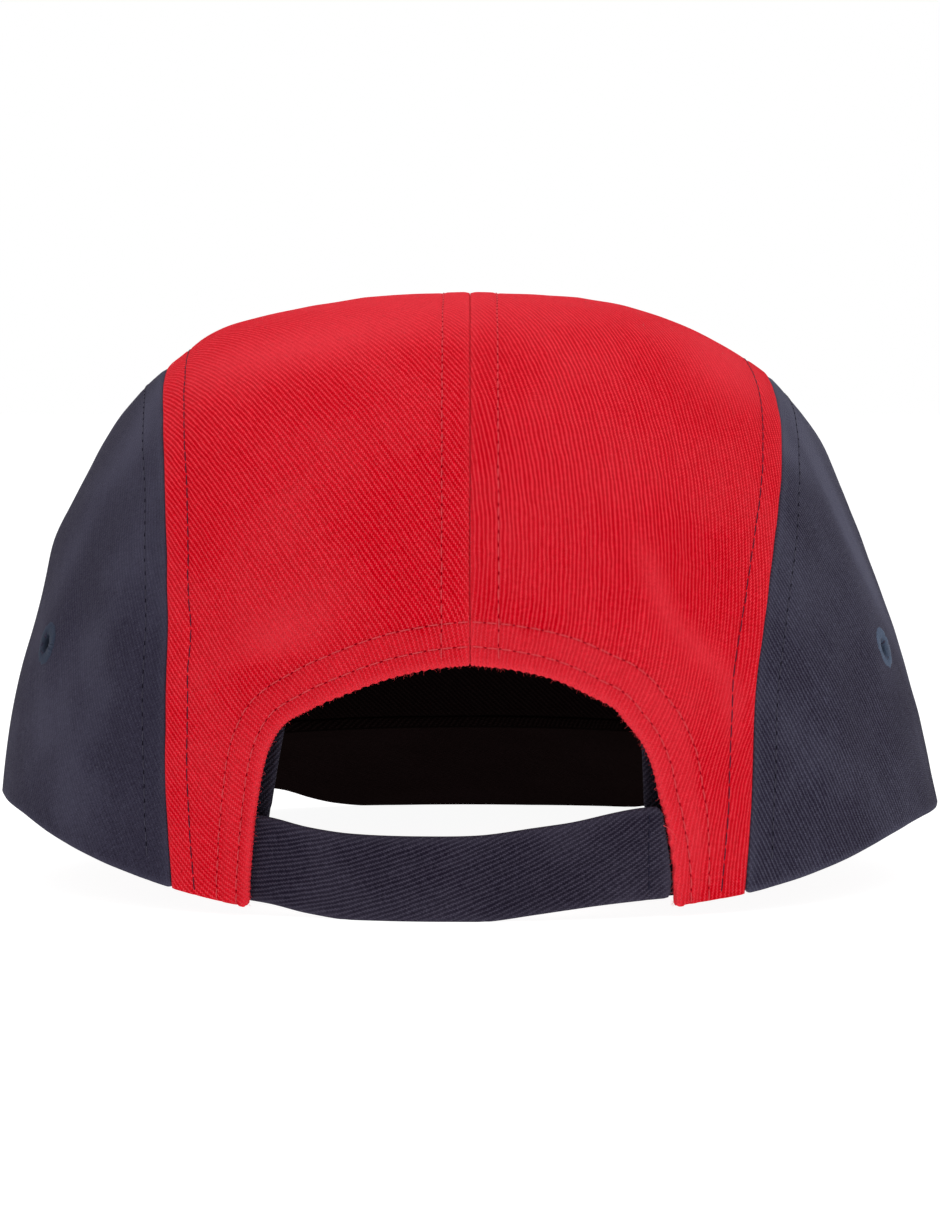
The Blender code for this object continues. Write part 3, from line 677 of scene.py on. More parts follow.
def twill_cloth(name, groove, floats, crest, gloss=0.04, sheen=0.02, relief=0.00020, beads=0.8,
                lint=1.0, clearness=1.0, patches=0.20, crests=0.8):
    """Washed twill: dark between its lines, paler on their crests, in patches, and paler by an
    attribute that holds wear together with painted highlights and painted shade.
    """
    material, tree, shader, place = woven_material(name)
    twill = feed(add_node(tree, "ShaderNodeGroup", node_tree=TWILL), {
        "Weave": place, "Beads": beads, "Lint": lint, "Clearness": clearness}).outputs
    here = add_node(tree, "ShaderNodeTexCoord").outputs["Object"]
    clouds = add_node(tree, "ShaderNodeTexNoise", {"Vector": here, "Scale": 42.0, "Detail": 3.0})
    clouds = clouds.outputs["Fac"]
    wear_and_painted_light = add_node(tree, "ShaderNodeAttribute", attribute_name="wear_and_painted_light").outputs["Fac"]
    # The share towards a paler colour, by wear and by painted highlights; painted shade lowers it.
    wear_and_painted_light_share = add_node(tree, "ShaderNodeMath", {
        0: wear_and_painted_light, 1: ramp(tree, twill["Fuzz"], 0.35, 0.75, 0.7, 1.7)}, operation="MULTIPLY").outputs[0]
    colour = mixed(tree, ramp(tree, twill["Lines"], 0.05, 0.60), groove, floats)
    colour = mixed(tree, ramp(tree, twill["Lines"], 0.80, 1.20, 0.0, crests), colour, crest)
    colour = mixed(tree, ramp(tree, twill["Yarns"], 0.42, 0.72, 0.0, 0.10), colour, crest)
    colour = mixed(tree, ramp(tree, clouds, 0.46, 0.68, 0.0, patches), colour, crest)
    colour = mixed(tree, ramp(tree, clouds, 0.52, 0.36, 0.0, patches), colour, groove)
    colour = mixed(tree, wear_and_painted_light_share, colour, [(f + c) / 2.0 for f, c in zip(floats, crest)])
    feed(shader, {
        "Base Color": colour,
        "Roughness": ramp(tree, twill["Lines"], 0.0, 1.0, 0.95, 0.82),
        "Specular IOR Level": gloss,
        "Sheen Weight": sheen,
        "Sheen Roughness": 0.3,
        "Sheen Tint": (*[min(1.0, c + 0.45) for c in crest], 1.0),
        "Normal": bumped(tree, twill["Height"], relief),
    })
    return material


def sewing_thread(name, colour, gloss=0.08):
    """Polyester sewing thread: a twisted ply with a soft gleam."""
    material, tree, shader, place = woven_material(name)
    ply = add_node(tree, "ShaderNodeTexWave", {"Vector": place, "Scale": 1.6, "Distortion": 1.0},
                   bands_direction="DIAGONAL").outputs["Fac"]
    tone = mixed(tree, ply, [c * 0.8 for c in colour], [min(1.0, c * 1.15) for c in colour])
    feed(shader, {"Base Color": tone, "Roughness": 0.6, "Specular IOR Level": gloss,
                  "Normal": bumped(tree, ply, 0.00004)})
    return material


def tube_cells(sides, rings, end):
    """Cells of a closed tube from rings of points. end has the cells that close its last ring."""
    ring = np.arange(sides)
    around = np.stack([ring, (ring + 1) % sides, (ring + 1) % sides + sides, ring + sides], axis=1)
    end = np.array(end)
    return np.concatenate([around + sides * k for k in range(rings - 1)]
                          + [end[:, ::-1], end + sides * (rings - 1)])


def tube_points(line, up, sides, sizes, flat=1.0):
    """Rings of points around a line, of its sizes, and flatter towards up if flat is below 1."""
    turns = np.arange(sides) * 2.0 * math.pi / sides
    ahead = unit(np.gradient(line, axis=0))
    beside = unit(np.cross(ahead, up))
    over = np.cross(beside, ahead) * flat
    rings = (beside[:, None] * np.cos(turns)[None, :, None]
             + over[:, None] * np.sin(turns)[None, :, None]) * sizes[:, None, None]
    return (line[:, None] + rings).reshape(-1, 3)


def sew(name, piece, rows, material, pitch=STITCH_PITCH, thick=0.00026, gap=0.0008, rise=0.00010,
        depth=0.006, shift=0.0):
    """Rows of stitches on a piece: each is a short thread that comes up and goes down again.

    rows are lines of points near the piece's face, each with the outward directions there. shift
    is a share of the pitch: at half of it, the threads lie in the needle holes between stitches,
    where a dark thread paints their shade.
    """
    move = np.array([0.0, CROWN_MIDDLE, 0.0])
    tree = BVHTree.FromPolygons([v.co for v in piece.data.vertices],
                                [tuple(p.vertices) for p in piece.data.polygons])
    sides, rings = 6, 7
    shares = np.array([0.0, 0.12, 0.32, 0.5, 0.68, 0.88, 1.0])
    lifts = np.array([-0.9, 0.0, 0.8, 1.0, 0.8, 0.0, -0.9]) * rise + thick * 0.2
    sizes = np.array([0.75, 1.0, 1.0, 1.0, 1.0, 1.0, 0.75]) * thick / 2.0
    tube = tube_cells(sides, rings, [[0, 1, 2, 3], [0, 3, 4, 5]])
    twist = np.tile(np.arange(sides) * math.pi / sides, rings)
    points, faces, weave = [], [], []
    scatter = np.random.default_rng(len(rows) + len(rows[0][0]))
    for line, out in rows:
        lengths = lengths_along(line)
        count = max(int(lengths[-1] / pitch), 1)
        step = lengths[-1] / count
        for index in range(count - (shift > 0.0)):
            uneven = scatter.uniform(-0.12, 0.12, 2) * min(gap, step - gap)
            first = (index + shift) * step + gap / 2.0 + uneven[0]
            places = first + shares * (step - gap + uneven[1])
            outs = unit(vectors_at(places, lengths, out))
            laid = []
            for middle, away in zip(vectors_at(places, lengths, line), outs):
                hit = tree.ray_cast(Vector(middle + move + away * depth / 2.0), Vector(-away), depth)
                laid.append(middle if hit[0] is None else np.array(hit[0]) - move)
            laid = np.array(laid) + outs * lifts[:, None]
            laid += np.cross(outs, unit(laid[-1] - laid[0])) * scatter.uniform(-0.00005, 0.00005)
            faces.append(tube + sides * rings * len(points))
            points.append(tube_points(laid, outs, sides, sizes, flat=0.5))
            weave.append(np.stack([twist, np.repeat(places * 2500.0, sides)], axis=1))
    return made_mesh(name, np.concatenate(points), np.concatenate(faces), [material],
                     weave=np.concatenate(weave))


def row_on(line):
    """A stitch row along a line on the crown: the line, and the outward directions there."""
    angle, rise, _ = crown_place(line)
    return line, crown_out(angle, rise)


def row_beside(line, distance, toward, start=0.0, end=1.0):
    """A stitch row at a distance beside a line on the crown, towards a direction."""
    line, out = row_on(resample(line, np.linspace(start, end, ROW_POINTS)))
    beside = unit(np.cross(out, np.gradient(line, axis=0)))
    beside = beside * np.sign(np.mean(beside @ toward))
    angle, rise, _ = crown_place(line + beside * distance)
    return crown_form(angle, rise), crown_out(angle, rise)


def arch_line(side, offset):
    """The arch's edge on one side, from its top to the rim, moved out into the cloth.

    offset is a distance, or distances by the share of the line's length from its top.
    """
    heights = np.concatenate([np.linspace(1.0, 0.985, 12)[:-1], np.linspace(0.985, -0.12, 150)])
    table = read_table(ARCH_POINTS, heights)
    across = (table[:, 2] if side > 0 else table[:, 1]) * ARCH_HALF_WIDTH
    places = np.linspace(0.0, 1.0, 200)
    seen = resample(np.stack([across, heights * ARCH_HEIGHT], axis=1), places)
    ahead = np.gradient(seen, axis=0)
    beside = np.stack([-ahead[:, 1], ahead[:, 0]], axis=1)
    beside[0] = (0.0, 1.0)
    for _ in range(6):
        beside[1:-1] = (beside[:-2] + beside[1:-1] * 2.0 + beside[2:]) / 4.0
    beside /= np.linalg.norm(beside, axis=1, keepdims=True)
    moved = offset if np.isscalar(offset) else np.interp(places, *offset)[:, None]
    seen = seen + beside * moved
    seen[:, 0] = np.maximum.accumulate(seen[:, 0]) * side
    turn = bisect(-45.0, np.full(len(seen), 60.0),
                  lambda value: on_band(seen[:, 0], value)[..., 2] > seen[:, 1])
    points = on_band(seen[:, 0], turn)
    kept = crown_place(points)[1] > 0.0
    return np.stack([seen[:, 0], turn], axis=1)[kept], points[kept]


def frayed(line, away, out, count, length, seed):
    """Short fibres that stand out from an edge at scattered places, each as five points."""
    scatter = np.random.default_rng(seed)
    lengths = lengths_along(line)
    shares = np.linspace(0.0, 1.0, 5)[:, None]
    fibres = []
    for place in scatter.uniform(0.0, lengths[-1], count):
        root, way, face = (vectors_at(place, lengths, row) for row in (line, away, out))
        way = unit(unit(way) + 0.6 * unit(scatter.normal(size=3)) + 0.2 * face)
        reach = length * scatter.uniform(0.3, 1.0)
        bend = unit(scatter.normal(size=3)) * reach * 0.5
        fibres.append(root - way * 0.0002 + way * reach * shares + bend * shares ** 2)
    return fibres


def hairs(name, fibres, thick, material):
    """Fine round fibres through their points, thinner towards the end."""
    sides, rings = 4, 5
    tube = tube_cells(sides, rings, [[0, 1, 2, 3]])
    sizes = thick / 2.0 * np.linspace(1.0, 0.45, rings)
    points = [tube_points(fibre, (0.3, -0.8, 0.5), sides, sizes) for fibre in fibres]
    faces = [tube + sides * rings * index for index in range(len(fibres))]
    return made_mesh(name, np.concatenate(points), np.concatenate(faces), [material],
                     weave=np.zeros((sides * rings * len(fibres), 2)))


def seam_relief(distance, row, groove=0.00025, raised=0.00012, sewn_in=0.00020):
    """Relief beside a seam: a groove at it, cloth raised over its layers, a sewn-down row."""
    under = step_between(0.0004, 0.0012, distance)
    under = under - step_between(row - 0.0006, row + 0.0008, distance)
    sewn = fading(distance - row, 0.00045)
    return raised * under - groove * fading(distance, 0.0004) - sewn_in * sewn


def fold_relief(points, folds):
    """Depth of soft folds that are given as they are seen from behind, and fade towards the front."""
    depth = np.zeros(len(points))
    for fold in folds:
        across, height = points[:, 0] - fold.across, points[:, 2] - fold.height
        turn = math.radians(fold.lean)
        along = across * math.cos(turn) + height * math.sin(turn)
        over = height * math.cos(turn) - across * math.sin(turn)
        away = (along / fold.along) ** 2 + (over / fold.over) ** 2
        depth += fold.depth * np.exp(-away)
    return depth * (1.0 - step_between(FADES_AHEAD_START, FADES_AHEAD_END, points[:, 1]))


def ripples(points, size, depth, seed):
    """Small unevenness of worn cloth: waves in fixed but scattered directions."""
    scatter = np.random.default_rng(seed)
    total = np.zeros(len(points))
    for _ in range(7):
        way = unit(scatter.normal(size=3))
        wave = 2.0 * math.pi / (size * scatter.uniform(0.6, 1.6))
        total += np.sin(points @ way * wave + scatter.uniform(0.0, 6.28))
    return total * depth / 3.0


def back_half(side):
    """Places and cells of a back half: a grid over the top, and a fan of rows round the arch."""
    over, rows_over, legs, fan = 84, 175, 104, 46
    stretch = np.array([1000.0, 1.6])
    shares = spaced(over, (0.0, 0.20, 0.82, 1.0), (0.0, 0.11, 0.91, 1.0))
    seam = SEAMS[side] - side * SEAM_ROLL
    start = side * SEAM_ROLL / 2.0
    foot = bisect(-40.0, 30.0, lambda turn: crown_place(
        on_band(np.interp(turn, SEAM_TURNS, seam), turn))[1] > 0.0)
    arch, _ = arch_line(side, HEM_ROLL)
    arch[0, 0] = start
    corner = arch[0, 1] + FAN_TURN
    turns = np.full(over, 115.0)
    for _ in range(4):
        turns = front_seam(start + (np.interp(turns, SEAM_TURNS, seam) - start) * shares, -SEAM_ROLL)
    down = np.linspace(1.0, 0.0, rows_over)[:, None]
    turns = corner + (turns - corner) * down
    top = np.stack([start + (np.interp(turns, SEAM_TURNS, seam) - start) * shares, turns], axis=-1)
    leg_shares = np.linspace(0.0, 1.0, legs + 1)[1:]
    inner = resample(arch * stretch, np.concatenate(
        [shares * FAN_SHARE, FAN_SHARE + (1.0 - FAN_SHARE) * leg_shares])) / stretch
    leg_turns = corner + (foot - corner) * leg_shares
    outer = np.concatenate([
        top[-1], np.stack([np.interp(leg_turns, SEAM_TURNS, seam), leg_turns], axis=1)])
    across = spaced(fan, (0.0, 0.5, 1.0), (0.0, 0.36, 1.0))
    low = inner[:, None] + (outer - inner)[:, None] * across[None, :, None]
    drop = back_rim(low[-1, :, 0]) + math.degrees(HEM_ROLL / CROWN_REACH) - low[-1, :, 1]
    low[over:, :, 1] += drop * leg_shares[:, None] ** 6
    numbers = np.arange(top.shape[0] * over).reshape(-1, over)
    low_numbers = np.full(low.shape[:2], -1)
    low_numbers[:over, -1] = numbers[-1]
    fresh = low_numbers < 0
    low_numbers[fresh] = numbers.size + np.arange(fresh.sum())
    chart = np.concatenate([top.reshape(-1, 2), low[fresh]])
    return chart, grid_cells(numbers), grid_cells(low_numbers)


red_twill = twill_cloth("red_twill", (0.57, 0.000, 0.005), (0.89, 0.000, 0.020), (1.00, 0.088, 0.108),
                        gloss=0.03, sheen=0.01, relief=0.00016, beads=1.0, lint=1.3, patches=0.10,
                        crests=0.9)
# A darker copy of the red twill for the inside faces: painted shade.
red_inside_painted_shade = twill_cloth("red_twill_inside_painted_shade", (0.20, 0.000, 0.004), (0.42, 0.006, 0.016),
                         (0.55, 0.030, 0.040), sheen=0.0)
red_thread = sewing_thread("red_thread", (1.00, 0.085, 0.105), gloss=0.02)
# Dark red thread for the needle holes: painted shade.
red_hole_shade = sewing_thread("red_needle_hole_shade", (0.36, 0.000, 0.008), gloss=0.0)
navy_thread = sewing_thread("navy_thread", (0.022, 0.020, 0.045))

for word, side in (("left", -1), ("right", 1)):
    name = "back_panel_" + word
    chart, over_cells, fan_cells = back_half(side)
    angle, rise, _ = crown_place(on_band(*chart.T))
    points, out = crown_cloth(angle, rise), crown_out(angle, rise)
    cells = np.concatenate([wound_out(points, over_cells, out), wound_out(points, fan_cells, out)])
    seam_line = on_band(SEAMS[side], SEAM_TURNS)
    seam_line = seam_line[(SEAM_TURNS < BACK_SEAM_END) & (crown_place(seam_line)[1] > -0.01)]
    _, arch_edge = arch_line(side, 0.0)
    behind = chart[:, 1] < 60.0
    to_seam, _ = near_line(points, seam_line[::3])
    to_arch, down_arch = near_line(points, arch_edge[::2])
    to_front = np.abs(chart[:, 1] - front_seam(chart[:, 0])) * math.radians(CROWN_REACH)
    hem = read_table(ARCH_ROWS, down_arch)
    near_row, far_row = hem[:, 1 if side < 0 else 3], hem[:, 2 if side < 0 else 4]
    in_hem = (1.0 - step_between(-0.0006, 0.0009, to_arch - far_row)) * behind
    relief = seam_relief(np.abs(points[:, 0]), MIDDLE_TO_STITCHES, groove=0.00012)
    relief *= 1.0 - 0.7 * in_hem
    relief += seam_relief(to_seam, SEAM_TO_STITCHES, groove=0.00014)
    relief += seam_relief(to_front, MIDDLE_TO_STITCHES)
    relief += HEM_RAISED * in_hem
    stitches_down = down_arch * ARCH_EDGE_LENGTH / STITCH_PITCH
    roped = np.sin(2.0 * math.pi * (stitches_down + (to_arch - near_row) * HEM_ROPING_SLANT))
    relief += HEM_ROPING * roped * in_hem * step_between(0.0002, 0.0016, to_arch)
    relief -= NEAR_ROW_SUNK * fading(to_arch - near_row, NEAR_ROW_WIDTH)
    relief -= FAR_ROW_SUNK * fading(to_arch - far_row, FAR_ROW_WIDTH)
    relief -= fold_relief(points, RED_FOLDS)
    relief += ripples(points, 0.022, 0.00012, 5 + side) + ripples(points, 0.009, 0.00004, 9 + side)
    points = points + out * relief[:, None]
    foot, from_edge = rise * (CROWN_TOP - crown_rim(angle)) - HEM_ROLL, to_arch - HEM_ROLL
    at_foot = down_arch > 0.5
    low, near = 1.0 - np.clip(np.stack([foot, from_edge]) / HEM_CORNER, 0.0, 1.0) * at_foot
    rounded = (UP * (low * (1.0 - np.sqrt(1.0 - near ** 2 / 2.0)))[:, None]
               + ACROSS * (side * near * (1.0 - np.sqrt(1.0 - low ** 2 / 2.0)))[:, None])
    points = points + HEM_CORNER * rounded * at_foot[:, None]
    leans = read_table(RED_TWILL_LEANS, points[:, 2])
    lean = leans[:, 3]
    if side < 0:
        lean = leans[:, 2] + (leans[:, 1] - leans[:, 2]) * step_between(0.015, 0.055, -points[:, 0])
    hem_lean = read_table(HEM_LEANS, down_arch)[:, 1 if side < 0 else 2]
    lean = lean + (hem_lean - lean) * (1.0 - step_between(0.005, 0.014, to_arch)) * behind
    weave = lay_weave(points, cells, lean, (points[:, 0], np.radians(chart[:, 1]) * CROWN_REACH))
    wear_and_painted_light = WEAR_ALL_OVER + EDGE_WEAR * fading(to_arch, EDGE_WEAR_WIDTH)
    # Painted highlights and painted shade from the red table are added to the wear here.
    wear_and_painted_light += fold_relief(points, RED_PAINTED_LIGHT_AND_SHADE)
    wear_and_painted_light += SEAM_WEAR * fading(np.minimum(to_seam, np.abs(points[:, 0])), SEAM_WEAR_WIDTH)
    wear_and_painted_light = np.clip(wear_and_painted_light + (HEM_WEAR + HEM_WEAR_TO_THE_RIGHT * side) * in_hem, 0.0, 1.0)
    roll = SEAM_ROLL + (HEM_ROLL - SEAM_ROLL) * (np.minimum(to_arch, points[:, 2]) < 0.0022)
    roll = np.where(np.abs(points[:, 0]) < 0.0002, SEAM_ROLL / 2.0, roll)
    notched = np.cos(2.0 * math.pi * weave[:, 0]) * (to_arch < 0.001) * (down_arch > 0.01)
    roll = roll + HEM_NOTCHES * notched
    panel = cloth_piece(name + "_cloth", points, cells, out, weave,
                        [red_twill, red_inside_painted_shade, red_twill], roll=roll, wear_and_painted_light=wear_and_painted_light)
    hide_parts(name)
    middle_turns = np.linspace(chart[0, 1] - 0.4, arch_line(side, 0.001)[0][0, 1], ROW_POINTS)
    red_rows = [row_on(on_band(side * MIDDLE_TO_STITCHES, middle_turns))]
    shares = np.linspace(0.0, 1.0, 12)
    for offsets in read_table(ARCH_ROWS, shares).T[(1, 2) if side < 0 else (3, 4), :]:
        red_rows.append(row_on(arch_line(side, (shares, offsets))[1]))
    row_places = side * np.linspace(0.001, 0.0575, 90)
    red_rows.append(row_on(on_band(row_places, front_seam(row_places, -MIDDLE_TO_STITCHES))))
    sew(name + "_red_stitches", panel, red_rows, red_thread)
    sew(name + "_needle_hole_shade", panel, red_rows, red_hole_shade, **NEEDLE_HOLE_SHADE)
    navy_rows = [row_beside(seam_line, SEAM_TO_STITCHES, -side * ACROSS, 0.004, 0.996)]
    sew(name + "_navy_stitches", panel, navy_rows, navy_thread, **SEAM_STITCHES)
    _, edge_out = row_on(arch_edge)
    beside = np.cross(edge_out, np.gradient(arch_edge, axis=0))
    beside = beside * np.sign(np.mean(beside @ np.array([-side, 0.0, -1.0])))
    fibres = frayed(arch_edge - edge_out * 0.0004, beside, edge_out, 200, 0.0009, 15 + side)
    hairs(name + "_frayed_edge", fibres, FIBRE_THICKNESS, red_thread)

# The front panel stands over the brim, out of the photo's sight. It is guessed as one piece of the
# same red twill, topstitched like the rest. Its inside face is near-black cloth: painted shade for
# the dark inside of the crown, seen through the arch.
FRONT_PANEL_FOOT = (-0.0585, 0.0565)
FRONT_PANEL_START = 112.0
FRONT_PANEL_LEAN = -47.0
painted_shade_facing = twill_cloth("painted_shade_black_facing", (0.0060, 0.0032, 0.0030), (0.0120, 0.0064, 0.0062),
                          (0.0200, 0.0125, 0.0130), gloss=0.0, sheen=0.0, patches=0.1)

rows, columns = 112, 150
shares = spaced(columns, (0.0, 0.10, 0.90, 1.0), (0.0, 0.045, 0.955, 1.0))
rim_turns = bisect(np.full(columns, 150.0), 200.0, lambda turn: crown_place(on_band(
    np.interp(shares, (0.0, 1.0), FRONT_PANEL_FOOT), turn))[1] < 0.0)
rim_turns -= math.degrees(HEM_ROLL / CROWN_REACH)
down = spaced(rows, (0.0, 0.12, 1.0), (0.0, 0.075, 1.0))[:, None]
turns = FRONT_PANEL_START + (rim_turns - FRONT_PANEL_START) * down
for _ in range(4):
    left = np.interp(turns, SEAM_TURNS, SEAMS[-1] + SEAM_ROLL)
    right = np.interp(turns, SEAM_TURNS, SEAMS[1] - SEAM_ROLL)
    places = left + (right - left) * shares
    turns = front_seam(places[0], SEAM_ROLL) * (1.0 - down) + rim_turns * down
chart = np.stack([places, turns], axis=-1).reshape(-1, 2)
angle, rise, _ = crown_place(on_band(*chart.T))
rise = np.maximum(rise, 0.0)
points, out = crown_cloth(angle, rise), crown_out(angle, rise)
cells = grid_wound_out(points, rows, columns, out)
to_side = np.full(len(points), 1.0)
side_seams = {}
for side in (-1, 1):
    line = on_band(SEAMS[side], SEAM_TURNS)
    side_seams[side] = line[(SEAM_TURNS > FRONT_SEAM_START) & (crown_place(line)[1] > -0.01)]
    to_side = np.minimum(to_side, near_line(points, side_seams[side][::3])[0])
to_top = np.abs(chart[:, 1] - front_seam(chart[:, 0])) * math.radians(CROWN_REACH)
relief = seam_relief(to_side, SEAM_TO_STITCHES) + seam_relief(to_top, MIDDLE_TO_STITCHES)
relief += ripples(points, 0.028, 0.00016, 21) + ripples(points, 0.009, 0.00004, 22)
points = points + out * relief[:, None]
weave = lay_weave(points, cells, FRONT_PANEL_LEAN,
                  (points[:, 0], np.radians(chart[:, 1]) * CROWN_REACH))
wear_and_painted_light = WEAR_ALL_OVER + 0.3 * fading(np.minimum(to_side, to_top), SEAM_WEAR_WIDTH)
wear_and_painted_light = np.clip(wear_and_painted_light + ripples(points, 0.040, 0.10, 23), 0.0, 1.0)
panel = cloth_piece("front_panel_cloth", points, cells, out, weave,
                    [red_twill, painted_shade_facing, red_twill], wear_and_painted_light=wear_and_painted_light,
                    roll=np.where(rise < 0.02, HEM_ROLL, SEAM_ROLL))
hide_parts("front_panel")
row_places = np.linspace(-0.0575, 0.0570, ROW_POINTS)
top_row = row_on(on_band(row_places, front_seam(row_places, MIDDLE_TO_STITCHES)))
sew("front_panel_red_stitches", panel, [top_row], red_thread)
navy_rows = [row_beside(side_seams[side], SEAM_TO_STITCHES, -side * ACROSS, 0.004, 0.97)
             for side in (-1, 1)]
sew("front_panel_navy_stitches", panel, navy_rows, navy_thread, **SEAM_STITCHES)

# The navy sides are D-shaped pieces of the same washed twill, set into the band's seams, with one
# row of navy thread beside the seam. The left one is brushed, so that its lines are fainter. Each
# has a small hole for its embroidered eyelet.
EYELET_ANGLE = 70.6
EYELET_RISE = 0.325
CUT_OUT_RADIUS = 0.0024
LOWEST_RISE = 0.0045
RIM_CORNER_TURN = 0.35
SIDE_LEANS = {-1: -58.0, 1: -60.0}
FINE_STITCHES = {"thick": 0.00024, "gap": 0.0010, "rise": 0.00005}
FINE_NEEDLE_HOLE_SHADE = {"thick": 0.00026, "gap": 0.0021, "rise": 0.00002, "shift": 0.5}
SIDE_FOLDS = {
    -1: named_rows(FOLD,
                   (-0.0850, 0.0660, 0.0040, 0.0120, 14.0, -0.00045),
                   (-0.0790, 0.0540, 0.0060, 0.0150, 20.0, 0.00050),
                   (-0.0700, 0.0480, 0.0050, 0.0200, 8.0, -0.00040)),
    1: named_rows(FOLD,
                  (0.0690, 0.0560, 0.0050, 0.0200, -16.0, 0.00040),
                  (0.0780, 0.0400, 0.0060, 0.0150, -20.0, -0.00040),
                  (0.0655, 0.0280, 0.0040, 0.0110, 0.0, 0.00035)),
}
# Painted highlights on the navy sides, given like the folds: pale streaks where light catches folds
# and silhouettes, and a paler upper right.
SIDE_PAINTED_HIGHLIGHTS = {
    -1: named_rows(FOLD,
                   (-0.0655, 0.0970, 0.0130, 0.0024, 66.0, 0.55),
                   (-0.0800, 0.0700, 0.0170, 0.0020, 64.0, 0.35),
                   (-0.0620, 0.0850, 0.0160, 0.0090, 75.0, 0.20)),
    1: named_rows(FOLD,
                  (0.0775, 0.0720, 0.0240, 0.0013, -65.0, 1.20),
                  (0.0670, 0.0960, 0.0190, 0.0090, -54.0, 0.60),
                  (0.0590, 0.1000, 0.0070, 0.0016, -58.0, 0.40),
                  (0.0640, 0.0900, 0.0070, 0.0016, -50.0, 0.40)),
}
navy_twill = twill_cloth("navy_twill", (0.018, 0.014, 0.029), (0.038, 0.033, 0.059),
                         (0.165, 0.166, 0.240), sheen=0.08, relief=0.00016, lint=1.8, clearness=1.0,
                         patches=0.14, crests=0.45)
brushed_navy_twill = twill_cloth("brushed_navy_twill", (0.022, 0.018, 0.034), (0.038, 0.034, 0.060),
                                 (0.122, 0.118, 0.178), sheen=0.08, relief=0.00014, lint=2.2,
                                 clearness=0.40, patches=0.20, crests=0.45)
# A near-black copy of the navy twill for the inside faces: painted shade.
navy_inside_painted_shade = twill_cloth("navy_twill_inside_painted_shade", (0.006, 0.005, 0.008), (0.012, 0.010, 0.016),
                          (0.024, 0.021, 0.030), gloss=0.0, sheen=0.0)
navy_tonal_thread = sewing_thread("navy_tonal_thread", (0.078, 0.072, 0.108))
# Near-black navy thread for the needle holes: painted shade.
navy_hole_shade = sewing_thread("navy_needle_hole_shade", (0.014, 0.012, 0.021), gloss=0.0)

for word, side in (("left", -1), ("right", 1)):
    name = "side_panel_" + word
    rows, columns = 78, 250
    seam_line = on_band(SEAMS[side] + side * SEAM_ROLL, SEAM_TURNS)
    inside = crown_place(seam_line)[1] > 0.006
    angle, rise, _ = crown_place(resample(seam_line[inside], np.linspace(0.0, 1.0, columns)))
    corner = side * RIM_CORNER_TURN
    rim_angles = np.linspace(angle[0] + corner, angle[-1] - corner, 600)
    rim_line = crown_form(rim_angles, LOWEST_RISE)
    rim_angle, rim_rise, _ = crown_place(resample(rim_line, np.linspace(0.0, 1.0, columns)))
    shares = spaced(rows, (0.0, 0.1, 0.78, 1.0), (0.0, 0.05, 0.85, 1.0))[:, None]
    angle = (rim_angle + (angle - rim_angle) * shares).ravel()
    rise = (rim_rise + (rise - rim_rise) * shares).ravel()
    points, out = crown_cloth(angle, rise), crown_out(angle, rise)
    cells = grid_wound_out(points, rows, columns, out)
    eyelet = crown_cloth(np.array([side * EYELET_ANGLE]), np.array([EYELET_RISE]))
    from_eyelet = np.linalg.norm(points[cells].mean(axis=1) - eyelet, axis=1)
    to_seam, _ = near_line(points, seam_line[inside][::3])
    relief = seam_relief(to_seam, MIDDLE_TO_STITCHES, groove=0.00014, raised=0.00004, sewn_in=0.00008)
    relief -= fold_relief(points, SIDE_FOLDS[side])
    relief += ripples(points, 0.026, 0.00022, 31 + side) + ripples(points, 0.010, 0.00006, 35 + side)
    points = points + out * relief[:, None]
    weave = lay_weave(points, cells, SIDE_LEANS[side],
                      (np.radians(angle) * CROWN_REACH, rise * CROWN_TOP), level=None)
    wear_and_painted_light = 0.25 * fading(to_seam, 0.0012) + 0.4 * fading(rise - LOWEST_RISE, 0.008)
    # Painted highlights from the side tables are added to the wear here.
    wear_and_painted_light = np.clip(wear_and_painted_light + fold_relief(points, SIDE_PAINTED_HIGHLIGHTS[side]), 0.0, 1.0)
    cells = cells[from_eyelet > CUT_OUT_RADIUS]
    outside = brushed_navy_twill if side < 0 else navy_twill
    panel = cloth_piece(name + "_cloth", points, cells, out, weave, [outside, navy_inside_painted_shade, outside],
                        wear_and_painted_light=wear_and_painted_light)
    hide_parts(name)
    tonal_rows = [row_beside(seam_line[inside], MIDDLE_TO_STITCHES, side * ACROSS, 0.02, 0.98)]
    sew(name + "_stitches", panel, tonal_rows, navy_tonal_thread, **FINE_STITCHES)
    sew(name + "_needle_hole_shade", panel, tonal_rows, navy_hole_shade, **FINE_NEEDLE_HOLE_SHADE)

